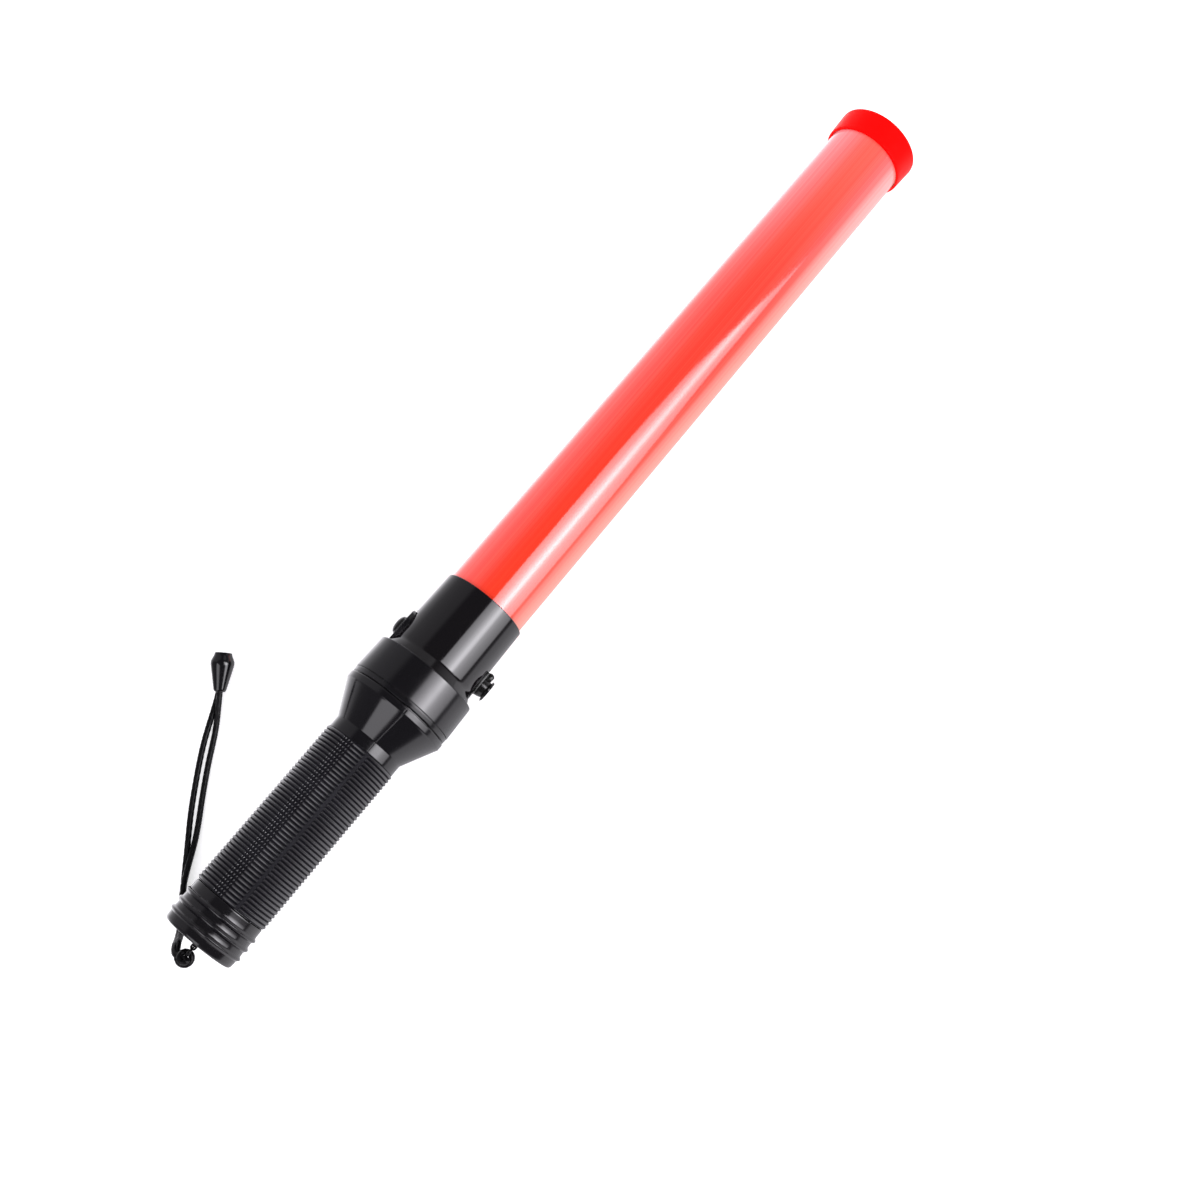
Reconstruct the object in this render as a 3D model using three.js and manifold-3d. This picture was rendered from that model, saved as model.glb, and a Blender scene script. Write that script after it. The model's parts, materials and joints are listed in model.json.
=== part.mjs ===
// Rechargeable traffic baton, lying on its side.
// Millimetres. +X runs along the baton from the tail to the tip, +Z is up, +Y is the button's side.
// The origin is the centre of the tail's end face, on the baton's axis.
import * as THREE from "three";
import { mergeVertices } from "three/addons/utils/BufferGeometryUtils.js";
import Module from "manifold-3d";

const wasm = await Module();
wasm.setup();

// Stations along the baton, measured from the tail's end face
const LENGTH = 540;
const TAIL_CAP_LENGTH = 22;
const RIBS_END = 112;
const CONE_START = 118;
const CONE_END = 134.3;
const HEAD_END = 138.6;
const COLLAR_START = 139.2;
const COLLAR_GROOVE = 141.5;
const COLLAR_END = 160;
const NECK_SHOULDER = 164.7;
const NECK_END = 203.8;
const TIP_CAP_START = 525.5;

// Outer radii
const GRIP_RADIUS = 18.8;
const RIB_RADIUS = 19.5;
const TAIL_RING_RADIUS = 19.9;
const HEAD_RADIUS = 28;
const COLLAR_RADIUS = 27.8;
const COLLAR_END_RADIUS = 27.15;
const NECK_BASE_RADIUS = 23.1;
const NECK_END_RADIUS = 22.4;
const TUBE_RADIUS = 21.1;
const TIP_RADIUS = 22.7;
const TIP_END_RADIUS = 23.3;

// Walls, threads and fits
const GAP = 0.3;
const TUBE_WALL = 1.5;
const DIFFUSER_WALL = 0.5;
const GRIP_BORE = 16.9;
const THREAD_BORE = 17.5;
const THREAD_LENGTH = 11;
const COLLAR_BORE = 25.8;
const THREAD_OUTER = COLLAR_BORE - 0.4;
const HEAD_BORE = 22.5;
const BOARD_LEDGE = 142.7;
const HEAD_THREAD_END = 149.2;
const NECK_THREAD_START = HEAD_THREAD_END + 0.4;
const NECK_BORE = 17.6;
const TUBE_SEAT = 183.3;
const END_WALL = 3.5;

// Ribs of the grip
const RIB_COUNT = 44;
const RIB_DEPTH = 0.75;

// Button and charging socket, on flats each side of the neck
const FLAT_OFFSET = 20.3;
const FLAT_START = 160.6;
const FLAT_END = 180.6;
const FLAT_HALF_WIDTH = 7.5;
const FLAT_CORNER = 3;
const BUTTON_STATION = 169.9;
const BUTTON_RADIUS = 5.2;
const BEZEL_TOP = 24.2;
const SOCKET_STATION = 171.2;
const COVER_HINGE_STATION = 162.3;

// Cell and LED board
const CELL_RADIUS = 9.1;
const CELL_START = 42.6;
const CELL_LENGTH = 65;
const LED_BOARD_START = 176.6;
const LED_BOARD_END = 521;
const LED_BOARD_WIDTH = 20;
const LED_BOARD_THICKNESS = 1.6;
const LEDS_PER_FACE = 6;
const FIRST_LED = 215;
const LED_PITCH = 55;

// Wrist cord
const CORD_RADIUS = 1.25;
const CORD_HEIGHT = -26.5;
const SLIDER_RADIUS = 5.2;
const SLIDER_LENGTH = 17.6;

// Facets round a turned piece
const GRIP_SEGMENTS = 24;
const HEAD_SEGMENTS = 32;
const SMALL_SEGMENTS = 16;

function finish(color, roughness, metalness = 0) {
  return new THREE.MeshStandardMaterial({ color, roughness, metalness });
}

const MATERIALS = {
  blackPlastic: finish(0x101012, 0.25),
  ribbedPlastic: finish(0x161618, 0.45),
  redTube: finish(0xff5038, 0.2),
  redCap: finish(0xf50808, 0.3),
  clearFilm: finish(0xff9a86, 0.35),
  rubber: finish(0x0d0d0d, 0.6),
  cord: finish(0x0a0a0a, 0.4),
  whitePlastic: finish(0xe8e6df, 0.5),
  steel: finish(0xb9bcc0, 0.35, 1),
  brass: finish(0xc9a24a, 0.35, 1),
  cell: finish(0x2f6fb0, 0.4),
  foam: finish(0x3a3a3a, 0.95),
  board: finish(0x1f6b3a, 0.5),
  chip: finish(0x151515, 0.5),
  led: finish(0xff2a1c, 0.15),
  redWire: finish(0xc01818, 0.5),
  blackWire: finish(0x141414, 0.5),
};

// Only the positions of a geometry, with its shared corners merged and no collapsed triangle left.
function cleaned(geometry) {
  geometry.deleteAttribute("normal");
  geometry.deleteAttribute("uv");
  const merged = mergeVertices(geometry, 1e-4);
  const corners = merged.index.array;
  const kept = [];
  for (let i = 0; i < corners.length; i += 3) {
    const [a, b, c] = corners.slice(i, i + 3);
    if (a !== b && b !== c && c !== a) kept.push(a, b, c);
  }
  merged.setIndex(kept);
  return merged;
}

function signedVolume(geometry) {
  const position = geometry.getAttribute("position");
  const corners = geometry.index.array;
  const a = new THREE.Vector3();
  const b = new THREE.Vector3();
  const c = new THREE.Vector3();
  let volume = 0;
  for (let i = 0; i < corners.length; i += 3) {
    a.fromBufferAttribute(position, corners[i]);
    b.fromBufferAttribute(position, corners[i + 1]);
    c.fromBufferAttribute(position, corners[i + 2]);
    volume += a.dot(b.cross(c)) / 6;
  }
  return volume;
}

// A clean geometry whose faces point outwards, whichever way its outline was drawn.
function outward(geometry) {
  const clean = cleaned(geometry);
  if (signedVolume(clean) < 0) {
    const corners = Array.from(clean.index.array);
    clean.setIndex(corners.reverse());
  }
  return clean;
}

function solidOf(geometry) {
  const clean = outward(geometry);
  return new wasm.Manifold(
    new wasm.Mesh({
      numProp: 3,
      vertProperties: new Float32Array(clean.getAttribute("position").array),
      triVerts: new Uint32Array(clean.index.array),
    }),
  );
}

function geometryOf(solid) {
  const mesh = solid.getMesh();
  const positions = new THREE.BufferAttribute(new Float32Array(mesh.vertProperties), mesh.numProp);
  return new THREE.BufferGeometry()
    .setAttribute("position", positions)
    .setIndex(new THREE.BufferAttribute(new Uint32Array(mesh.triVerts), 1));
}

function cut(geometry, ...tools) {
  const solid = tools.reduce((left, tool) => left.subtract(solidOf(tool)), solidOf(geometry));
  return geometryOf(solid);
}

function joined(geometry, ...others) {
  const solid = others.reduce((whole, other) => whole.add(solidOf(other)), solidOf(geometry));
  return geometryOf(solid);
}

// An outline of [distance along the axis, radius] points, turned about the local Y axis.
// An outline that doesn't start and end on the axis is closed on itself.
function turned(outline, segments) {
  const points = outline.map(([along, radius]) => new THREE.Vector2(radius, along));
  const onAxis = outline[0][1] === 0 && outline[outline.length - 1][1] === 0;
  if (!onAxis) points.push(points[0].clone());
  return new THREE.LatheGeometry(points, segments);
}

function alongX(outline, segments = GRIP_SEGMENTS) {
  return outward(turned(outline, segments).rotateZ(-Math.PI / 2));
}

// Turned about an axis through (x, 0, 0) that points to +Y, or to -Y.
function towardsPlusY(x, outline, segments = SMALL_SEGMENTS) {
  return outward(turned(outline, segments).translate(x, 0, 0));
}

function towardsMinusY(x, outline, segments = SMALL_SEGMENTS) {
  return outward(turned(outline, segments).rotateZ(Math.PI).translate(x, 0, 0));
}

function towardsZ(x, y, z, outline, segments = 8) {
  return outward(turned(outline, segments).rotateX(Math.PI / 2).translate(x, y, z));
}

function washer(start, end, inner, outer) {
  return [[start, inner], [start, outer], [end, outer], [end, inner]];
}

function disc(start, end, radius) {
  return [[start, 0], [start, radius], [end, radius], [end, 0]];
}

// A drill that comes in from the side, through a wall but not as far as the axis.
function drill(radius) {
  return disc(10, 30, radius);
}

function roundSection(along, radius, thickness, sides = 6) {
  return Array.from({ length: sides }, (_, i) => {
    const turn = (i / sides) * 2 * Math.PI;
    return [along + thickness * Math.cos(turn), radius + thickness * Math.sin(turn)];
  });
}

function block(x, y, z) {
  const [x0, x1] = x;
  const [y0, y1] = y;
  const [z0, z1] = z;
  return new THREE.BoxGeometry(x1 - x0, y1 - y0, z1 - z0).translate(
    (x0 + x1) / 2,
    (y0 + y1) / 2,
    (z0 + z1) / 2,
  );
}

// A round rod swept along a curve.
function swept(curve, radius, steps, sides = 6) {
  const section = new THREE.Shape();
  for (let i = 0; i < sides; i += 1) {
    const turn = (i / sides) * 2 * Math.PI;
    const corner = [radius * Math.cos(turn), radius * Math.sin(turn)];
    if (i === 0) section.moveTo(...corner);
    else section.lineTo(...corner);
  }
  section.closePath();
  const options = { steps, bevelEnabled: false, extrudePath: curve };
  return outward(new THREE.ExtrudeGeometry(section, options));
}

function smoothCurve(points) {
  return new THREE.CatmullRomCurve3(
    points.map(([x, y, z]) => new THREE.Vector3(x, y, z)),
    false,
    "centripetal",
  );
}

class Coil extends THREE.Curve {
  constructor(start, length, radius, turns) {
    super();
    Object.assign(this, { start, length, radius, turns });
  }

  getPoint(t, target = new THREE.Vector3()) {
    const angle = t * this.turns * 2 * Math.PI;
    return target.set(
      this.start + t * this.length,
      this.radius * Math.cos(angle),
      this.radius * Math.sin(angle),
    );
  }
}

const baton = new THREE.Group();

function add(name, geometry, material) {
  const mesh = new THREE.Mesh(geometry, material);
  mesh.name = name;
  baton.add(mesh);
  return mesh;
}

// ---- Tail cap: screws into the grip, and turns round the strap anchor in its middle ----

const ANCHOR_RADIUS = 4.2;
const ANCHOR_HOLE = 4.7;
const ANCHOR_FLANGE = 6.6;
const FLANGE_THICKNESS = 1.5;
const EYE_REACH = 4.2;
const EYE_HALF_WIDTH = 2.4;
const EYE_HALF_OPENING = 1.3;
const EYE_LEG = 2.5;
const EYE_CORNER = 0.7;
const EYE_ROOT = 0.8;
const EYE_THICKNESS = 1.5;
const SPIGOT_RADIUS = THREAD_BORE - GAP;
const SPIGOT_END = TAIL_CAP_LENGTH + THREAD_LENGTH;
const SEAL_STATION = 24.2;

function raisedRing(station) {
  return [
    [station - 1.2, GRIP_RADIUS],
    [station - 0.6, TAIL_RING_RADIUS],
    [station + 0.6, TAIL_RING_RADIUS],
    [station + 1.2, GRIP_RADIUS],
  ];
}

function tailCap() {
  const rings = [5.8, 10.9, 16].flatMap(raisedRing);
  return alongX([
    [0, ANCHOR_HOLE],
    [0, GRIP_RADIUS - 2],
    [0.5, GRIP_RADIUS - 0.8],
    [2, GRIP_RADIUS],
    ...rings,
    [TAIL_CAP_LENGTH, GRIP_RADIUS],
    [TAIL_CAP_LENGTH, SPIGOT_RADIUS],
    [SEAL_STATION - 1, SPIGOT_RADIUS],
    [SEAL_STATION - 1, SPIGOT_RADIUS - 1.4],
    [SEAL_STATION + 1, SPIGOT_RADIUS - 1.4],
    [SEAL_STATION + 1, SPIGOT_RADIUS],
    [SPIGOT_END, SPIGOT_RADIUS],
    [SPIGOT_END, SPIGOT_RADIUS - 2.6],
    [END_WALL, SPIGOT_RADIUS - 2.6],
    [END_WALL, ANCHOR_HOLE],
  ]);
}

// A flat plug with an arched eye on its outer face, held from behind by a flange.
function strapAnchor() {
  const flangeStart = END_WALL + GAP;
  const plug = alongX(
    [
      [0, 0],
      [0, ANCHOR_RADIUS],
      [flangeStart, ANCHOR_RADIUS],
      [flangeStart, ANCHOR_FLANGE],
      [flangeStart + FLANGE_THICKNESS, ANCHOR_FLANGE],
      [flangeStart + FLANGE_THICKNESS, 0],
    ],
    SMALL_SEGMENTS,
  );
  const crown = EYE_HALF_WIDTH - EYE_REACH;
  const inner = EYE_HALF_OPENING - EYE_CORNER;
  const quarter = Math.PI / 2;
  const arch = new THREE.Shape();
  arch.moveTo(EYE_ROOT, -EYE_HALF_WIDTH);
  arch.lineTo(crown, -EYE_HALF_WIDTH);
  arch.absarc(crown, 0, EYE_HALF_WIDTH, -quarter, -3 * quarter, true);
  arch.lineTo(EYE_ROOT, EYE_HALF_WIDTH);
  arch.lineTo(EYE_ROOT, EYE_HALF_OPENING);
  arch.absarc(-EYE_LEG, inner, EYE_CORNER, quarter, 2 * quarter, false);
  arch.absarc(-EYE_LEG, -inner, EYE_CORNER, 2 * quarter, 3 * quarter, false);
  arch.lineTo(EYE_ROOT, -EYE_HALF_OPENING);
  arch.closePath();
  const options = { depth: EYE_THICKNESS, bevelEnabled: false, curveSegments: 5 };
  const eye = new THREE.ExtrudeGeometry(arch, options).translate(0, 0, -EYE_THICKNESS / 2);
  return joined(plug, eye);
}

add("tail_cap", tailCap(), MATERIALS.blackPlastic);
add("tail_swivel", strapAnchor(), MATERIALS.blackPlastic);
add("tail_seal", alongX(roundSection(SEAL_STATION, SPIGOT_RADIUS - 0.55, 0.55)), MATERIALS.rubber);
add(
  "tail_contact_ring",
  alongX(washer(SPIGOT_END + GAP, SPIGOT_END + 1.1, SPIGOT_RADIUS - 2.4, SPIGOT_RADIUS - 0.2)),
  MATERIALS.brass,
);

const SPRING_WIRE = 0.7;
const SPRING_CLEARANCE = SPRING_WIRE + 0.4;
const SPRING_START = END_WALL + GAP + FLANGE_THICKNESS + SPRING_CLEARANCE;
const SPRING_END = CELL_START - SPRING_CLEARANCE;
const tailSpring = new Coil(SPRING_START, SPRING_END - SPRING_START, 6.4, 6);
add("tail_spring", swept(tailSpring, SPRING_WIRE, 60, 4), MATERIALS.steel);

// ---- Grip and head: one shell, ribbed where the hand goes, widening into the head ----

const CELL_STOP = 115.7;
const CELL_STOP_BORE = 14;
const HEAD_BORE_START = 131;

function ribs(start, end) {
  const pitch = (end - start) / RIB_COUNT;
  return Array.from({ length: RIB_COUNT }, (_, i) => {
    const station = start + i * pitch;
    return [
      [station + 0.2 * pitch, RIB_RADIUS - RIB_DEPTH],
      [station + 0.7 * pitch, RIB_RADIUS],
    ];
  }).flat();
}

function handleShell() {
  return alongX([
    [TAIL_CAP_LENGTH + GAP, GRIP_RADIUS],
    ...ribs(TAIL_CAP_LENGTH + GAP, RIBS_END),
    [RIBS_END, GRIP_RADIUS],
    [CONE_START, GRIP_RADIUS],
    [CONE_END, HEAD_RADIUS - 0.8],
    [CONE_END + 3.2, HEAD_RADIUS],
    [HEAD_END, HEAD_RADIUS - 0.3],
    [HEAD_END, THREAD_OUTER],
    [HEAD_THREAD_END, THREAD_OUTER],
    [HEAD_THREAD_END, HEAD_BORE + 0.8],
    [BOARD_LEDGE, HEAD_BORE + 0.8],
    [BOARD_LEDGE, HEAD_BORE],
    [HEAD_BORE_START, HEAD_BORE],
    [CONE_START + 1, GRIP_BORE - 0.3],
    [CELL_STOP + 2, CELL_STOP_BORE],
    [CELL_STOP, CELL_STOP_BORE],
    [CELL_STOP, GRIP_BORE],
    [SPIGOT_END + 3, GRIP_BORE],
    [SPIGOT_END + 3, THREAD_BORE],
    [TAIL_CAP_LENGTH + GAP, THREAD_BORE],
  ]);
}

add("handle_shell", handleShell(), MATERIALS.ribbedPlastic);

// ---- Cell, its sleeve and its contacts, inside the grip ----

const CELL_END = CELL_START + CELL_LENGTH;
const CONTACT_STATION = CELL_END + 2.4;

add(
  "battery_cell",
  alongX([
    [CELL_START, 0],
    [CELL_START, CELL_RADIUS],
    [CELL_END - 0.2, CELL_RADIUS],
    [CELL_END - 0.2, 3.2],
    [CELL_END + 1, 3.2],
    [CELL_END + 1, 0],
  ], 18),
  MATERIALS.cell,
);
add(
  "cell_sleeve",
  alongX(washer(CELL_START + 0.4, CELL_END - 0.6, CELL_RADIUS + 0.4, 15.6)),
  MATERIALS.whitePlastic,
);

function contactHolder() {
  const plate = alongX(washer(CONTACT_STATION, CONTACT_STATION + 2.6, 3.4, GRIP_BORE - 0.6));
  const wireHole = alongX(disc(CONTACT_STATION - 2, CONTACT_STATION + 5, 2.4), 10);
  wireHole.translate(0, 0, 9);
  return cut(plate, wireHole);
}

add("contact_holder", contactHolder(), MATERIALS.whitePlastic);
add(
  "front_contact",
  alongX(
    [
      [CELL_END + 1.3, 0],
      [CELL_END + 1.3, 4.2],
      [CELL_END + 2.1, 4.2],
      [CELL_END + 2.1, 2.9],
      [CONTACT_STATION + 3.6, 2.9],
      [CONTACT_STATION + 3.6, 0],
    ],
    SMALL_SEGMENTS,
  ),
  MATERIALS.brass,
);
add(
  "contact_pad",
  alongX(washer(CONTACT_STATION + 2.9, CELL_STOP - GAP, 12.2, GRIP_BORE - 0.6)),
  MATERIALS.foam,
);
add("earth_strip", block([SPIGOT_END + 1.4, 109.4], [-1.5, 1.5], [15.95, 16.4]), MATERIALS.brass);

// ---- Collar: an internally threaded ring that joins the head and the neck ----

function headCollar() {
  return alongX([
    [COLLAR_START, COLLAR_BORE],
    [COLLAR_START, COLLAR_RADIUS - 0.4],
    [COLLAR_START + 0.5, COLLAR_RADIUS],
    [COLLAR_GROOVE - 0.4, COLLAR_RADIUS],
    [COLLAR_GROOVE, COLLAR_RADIUS - 0.4],
    [COLLAR_GROOVE + 0.4, COLLAR_RADIUS],
    [COLLAR_END - 1, COLLAR_END_RADIUS],
    [COLLAR_END - 0.3, COLLAR_END_RADIUS - 0.35],
    [COLLAR_END, COLLAR_END_RADIUS - 0.9],
    [COLLAR_END, COLLAR_BORE],
  ], HEAD_SEGMENTS);
}

add("head_collar", headCollar(), MATERIALS.blackPlastic);

// ---- Neck: screws into the collar, holds the tube, and carries the button and the socket ----

const STEM_HOLE = 2.9;
const SOCKET_HOLE = 4.3;

function flatCutter(side) {
  const outline = new THREE.Shape();
  const centre = FLAT_END - FLAT_CORNER;
  const offset = FLAT_HALF_WIDTH - FLAT_CORNER;
  outline.moveTo(FLAT_START, -FLAT_HALF_WIDTH);
  outline.lineTo(centre, -FLAT_HALF_WIDTH);
  outline.absarc(centre, -offset, FLAT_CORNER, -Math.PI / 2, 0, false);
  outline.absarc(centre, offset, FLAT_CORNER, 0, Math.PI / 2, false);
  outline.lineTo(FLAT_START, FLAT_HALF_WIDTH);
  outline.closePath();
  const options = { depth: 10, bevelEnabled: false, curveSegments: 8 };
  const tool = new THREE.ExtrudeGeometry(outline, options);
  tool.rotateX(-side * Math.PI / 2);
  return tool.translate(0, side * FLAT_OFFSET, 0);
}

function neckSleeve() {
  const body = alongX([
    [NECK_THREAD_START, THREAD_OUTER],
    [COLLAR_END + 0.2, THREAD_OUTER],
    [NECK_SHOULDER, NECK_BASE_RADIUS],
    [NECK_SHOULDER + 16, NECK_BASE_RADIUS],
    [NECK_END, NECK_END_RADIUS],
    [NECK_END, TUBE_RADIUS + GAP],
    [TUBE_SEAT, TUBE_RADIUS + GAP],
    [TUBE_SEAT, NECK_BORE],
    [NECK_THREAD_START, NECK_BORE],
  ], HEAD_SEGMENTS);
  const stemHole = towardsPlusY(BUTTON_STATION, drill(STEM_HOLE), 12);
  const socketHole = towardsMinusY(SOCKET_STATION, drill(SOCKET_HOLE));
  return cut(body, flatCutter(1), flatCutter(-1), stemHole, socketHole);
}

add("neck_sleeve", neckSleeve(), MATERIALS.blackPlastic);

// ---- Tube, the prismatic film inside it, and the tip cap ----

const CAP_FLOOR = LENGTH - 2.5;

add(
  "red_tube",
  alongX(
    washer(TUBE_SEAT + GAP, CAP_FLOOR - GAP, TUBE_RADIUS - TUBE_WALL, TUBE_RADIUS),
    HEAD_SEGMENTS,
  ),
  MATERIALS.redTube,
);

const FILM_RADIUS = TUBE_RADIUS - TUBE_WALL - GAP;
add(
  "diffuser_sleeve",
  alongX(
    washer(TUBE_SEAT + 1.5, CAP_FLOOR - 1.5, FILM_RADIUS - DIFFUSER_WALL, FILM_RADIUS),
    HEAD_SEGMENTS,
  ),
  MATERIALS.clearFilm,
);

function tipCap() {
  return alongX([
    [TIP_CAP_START, TUBE_RADIUS + GAP],
    [TIP_CAP_START, TIP_RADIUS - 0.3],
    [TIP_CAP_START + 0.4, TIP_RADIUS],
    [LENGTH - 3, TIP_END_RADIUS - 0.15],
    [LENGTH - 0.6, TIP_END_RADIUS],
    [LENGTH, TIP_END_RADIUS - 0.5],
    [LENGTH, 0],
    [CAP_FLOOR, 0],
    [CAP_FLOOR, TUBE_RADIUS + GAP],
  ], HEAD_SEGMENTS);
}

add("tip_cap", tipCap(), MATERIALS.redCap);

// ---- Control board, in the head, on the ledge at the end of the shell ----

const BOARD_START = BOARD_LEDGE + GAP;
const BOARD_FACE = BOARD_START + 1.6;

add("control_board", alongX(disc(BOARD_START, BOARD_FACE, HEAD_BORE + 0.4)), MATERIALS.board);
add(
  "driver_chip",
  block([BOARD_FACE + GAP, BOARD_FACE + 2], [-3, 3], [-12, -8]),
  MATERIALS.chip,
);
add(
  "capacitor",
  alongX(disc(BOARD_FACE + GAP, BOARD_FACE + 6.5, 3), 12).translate(0, -3, 12),
  MATERIALS.chip,
);
add(
  "charge_diode",
  block([BOARD_FACE + GAP, BOARD_FACE + 2.4], [-16, -10.5], [-7, -4.6]),
  MATERIALS.chip,
);

// ---- LED board along the tube, its two supports and its LEDs ----

const HALF_BOARD = LED_BOARD_WIDTH / 2;
const HALF_THICKNESS = LED_BOARD_THICKNESS / 2;

function slotted(start, end, radius) {
  const plate = alongX(disc(start, end, radius));
  const reach = HALF_BOARD + GAP;
  const slot = block([start - 1, end + 1], [-reach, reach], [-HALF_THICKNESS - GAP, HALF_THICKNESS + GAP]);
  return cut(plate, slot);
}

add("board_holder", slotted(178.4, 182.8, NECK_BORE - 0.4), MATERIALS.whitePlastic);
add("board_end_disc", slotted(517, 520, FILM_RADIUS - DIFFUSER_WALL - 0.4), MATERIALS.whitePlastic);
add(
  "led_board",
  block(
    [LED_BOARD_START, LED_BOARD_END],
    [-HALF_BOARD, HALF_BOARD],
    [-HALF_THICKNESS, HALF_THICKNESS],
  ),
  MATERIALS.board,
);

function ledBody() {
  return [[0, 0], [0, 2.9], [1, 2.9], [1, 2.5], [6.2, 2.5], [8, 1.8], [8.7, 0]];
}

for (let i = 0; i < LEDS_PER_FACE; i += 1) {
  const station = FIRST_LED + i * LED_PITCH;
  const base = HALF_THICKNESS + GAP;
  add(`led_top_${i + 1}`, towardsZ(station, 0, base, ledBody()), MATERIALS.led);
  const below = towardsZ(station, 0, base, ledBody()).rotateX(Math.PI);
  add(`led_bottom_${i + 1}`, below, MATERIALS.led);
}

// ---- Button: surround, sprung dome and the switch it presses ----

const BEZEL_START = 160.9;
const BEZEL_END = 179.7;
const BEZEL_HALF_WIDTH = 6;
const BEZEL_EDGE = 0.5;

function switchBezel() {
  const reach = BEZEL_HALF_WIDTH - BEZEL_EDGE;
  const centre = BEZEL_END - BEZEL_HALF_WIDTH;
  const outline = new THREE.Shape();
  outline.moveTo(BEZEL_START + BEZEL_EDGE, -reach);
  outline.lineTo(centre, -reach);
  outline.absarc(centre, 0, reach, -Math.PI / 2, Math.PI / 2, false);
  outline.lineTo(BEZEL_START + BEZEL_EDGE, reach);
  outline.closePath();
  const options = {
    depth: BEZEL_TOP - FLAT_OFFSET - GAP - 2 * BEZEL_EDGE,
    bevelThickness: BEZEL_EDGE,
    bevelSize: BEZEL_EDGE,
    bevelSegments: 1,
    curveSegments: 8,
  };
  const plate = new THREE.ExtrudeGeometry(outline, options);
  plate.rotateX(-Math.PI / 2);
  plate.translate(0, FLAT_OFFSET + GAP + BEZEL_EDGE, 0);
  const well = towardsPlusY(BUTTON_STATION, drill(BUTTON_RADIUS + 0.4), 20);
  return cut(plate, well);
}

function pushButton() {
  return towardsPlusY(
    BUTTON_STATION,
    [
      [18, 0],
      [18, 2.2],
      [24.4, 2.2],
      [24.4, 4.4],
      [22.5, 4.4],
      [22.5, BUTTON_RADIUS],
      [24.8, BUTTON_RADIUS],
      [25.7, 4.8],
      [26.4, 3.7],
      [26.8, 2],
      [26.9, 0],
    ],
    20,
  );
}

function switchBody() {
  const body = block([BUTTON_STATION - 6, BUTTON_STATION + 6], [7.5, 14.6], [-6, 6]);
  const plunger = towardsPlusY(BUTTON_STATION, disc(14, 16.2, 1.7), 10);
  return joined(body, plunger);
}

const buttonSpring = new Coil(0, 1.1, 3.3, 2);

add("switch_bezel", switchBezel(), MATERIALS.blackPlastic);
add("switch_button", pushButton(), MATERIALS.rubber);
add("switch_body", switchBody(), MATERIALS.chip);
add(
  "button_spring",
  swept(buttonSpring, 0.3, 22, 4).rotateZ(Math.PI / 2).translate(BUTTON_STATION, 22.8, 0),
  MATERIALS.steel,
);

// ---- Charging socket, and the rubber cover that hinges at its tether ----

function socket() {
  return towardsMinusY(SOCKET_STATION, [
    [10, 0],
    [10, 3.9],
    [20.6, 3.9],
    [20.6, 5.3],
    [21.4, 5.3],
    [21.4, 2.9],
    [12, 2.9],
    [12, 0],
  ]);
}

function hexNut() {
  const outline = new THREE.Shape();
  for (let i = 0; i < 6; i += 1) {
    const turn = (i / 6) * 2 * Math.PI;
    const corner = [6 * Math.cos(turn), 6 * Math.sin(turn)];
    if (i === 0) outline.moveTo(...corner);
    else outline.lineTo(...corner);
  }
  outline.closePath();
  const hole = new THREE.Path();
  hole.absarc(0, 0, 4.3, 0, 2 * Math.PI, true);
  outline.holes.push(hole);
  const options = { depth: 2.2, bevelEnabled: false, curveSegments: 8 };
  return new THREE.ExtrudeGeometry(outline, options)
    .rotateX(Math.PI / 2)
    .translate(SOCKET_STATION, -13.9, 0);
}

function portCover() {
  const hinge = COVER_HINGE_STATION;
  const side = new THREE.Shape();
  side.moveTo(hinge, -21.8);
  side.lineTo(hinge, -23.1);
  side.lineTo(hinge + 3.2, -23.3);
  side.lineTo(hinge + 5, -26.2);
  side.lineTo(hinge + 6.4, -27.1);
  side.lineTo(hinge + 13, -27.1);
  side.lineTo(hinge + 14.6, -26);
  side.lineTo(hinge + 16.6, -28.4);
  side.lineTo(hinge + 17.7, -28);
  side.lineTo(hinge + 16.2, -21.8);
  side.closePath();
  const width = 10.6;
  const options = { depth: width, bevelEnabled: false };
  const slab = new THREE.ExtrudeGeometry(side, options).translate(0, 0, -width / 2);
  const stub = towardsMinusY(SOCKET_STATION, disc(19.4, 22.5, 2.3), 12);
  return joined(slab, stub);
}

add("dc_jack", socket(), MATERIALS.chip);
add("jack_pin", towardsMinusY(SOCKET_STATION, disc(12.3, 18.8, 1), 8), MATERIALS.brass);
add("jack_nut", outward(hexNut()), MATERIALS.steel);
add("port_cover", portCover(), MATERIALS.rubber);

// ---- Wires ----

function wire(name, points, material) {
  add(name, swept(smoothCurve(points), 0.6, 10, 5), material);
}

const BOARD_BACK = BOARD_START - GAP - 0.3;
const BOARD_FRONT = BOARD_FACE + GAP + 0.3;
wire(
  "wire_cell_red",
  [[CONTACT_STATION + 4.3, 0, 0], [125, -3, -2], [BOARD_BACK, -6, -4]],
  MATERIALS.redWire,
);
wire(
  "wire_cell_black",
  [[108.9, 0, 14.6], [109.2, 0, 11.5], [111, 0, 9.3], [118, 0, 9], [BOARD_BACK, 0, 8]],
  MATERIALS.blackWire,
);
wire(
  "wire_jack_red",
  [[SOCKET_STATION, -9.1, 2], [165, -7.6, 3], [154, -8, 5], [BOARD_FRONT, -10, 6]],
  MATERIALS.redWire,
);
wire(
  "wire_jack_black",
  [[SOCKET_STATION, -9.1, -2], [165, -7.6, -3], [154, -6, -3.4], [BOARD_FRONT, -6, -3]],
  MATERIALS.blackWire,
);
wire(
  "wire_switch_red",
  [[BUTTON_STATION - 6.6, 11, 3], [157, 10.6, 4], [BOARD_FRONT, 11, 5]],
  MATERIALS.redWire,
);
wire(
  "wire_switch_black",
  [[BUTTON_STATION - 6.6, 11, -3], [157, 10.6, -4], [BOARD_FRONT, 11, -5]],
  MATERIALS.blackWire,
);
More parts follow.
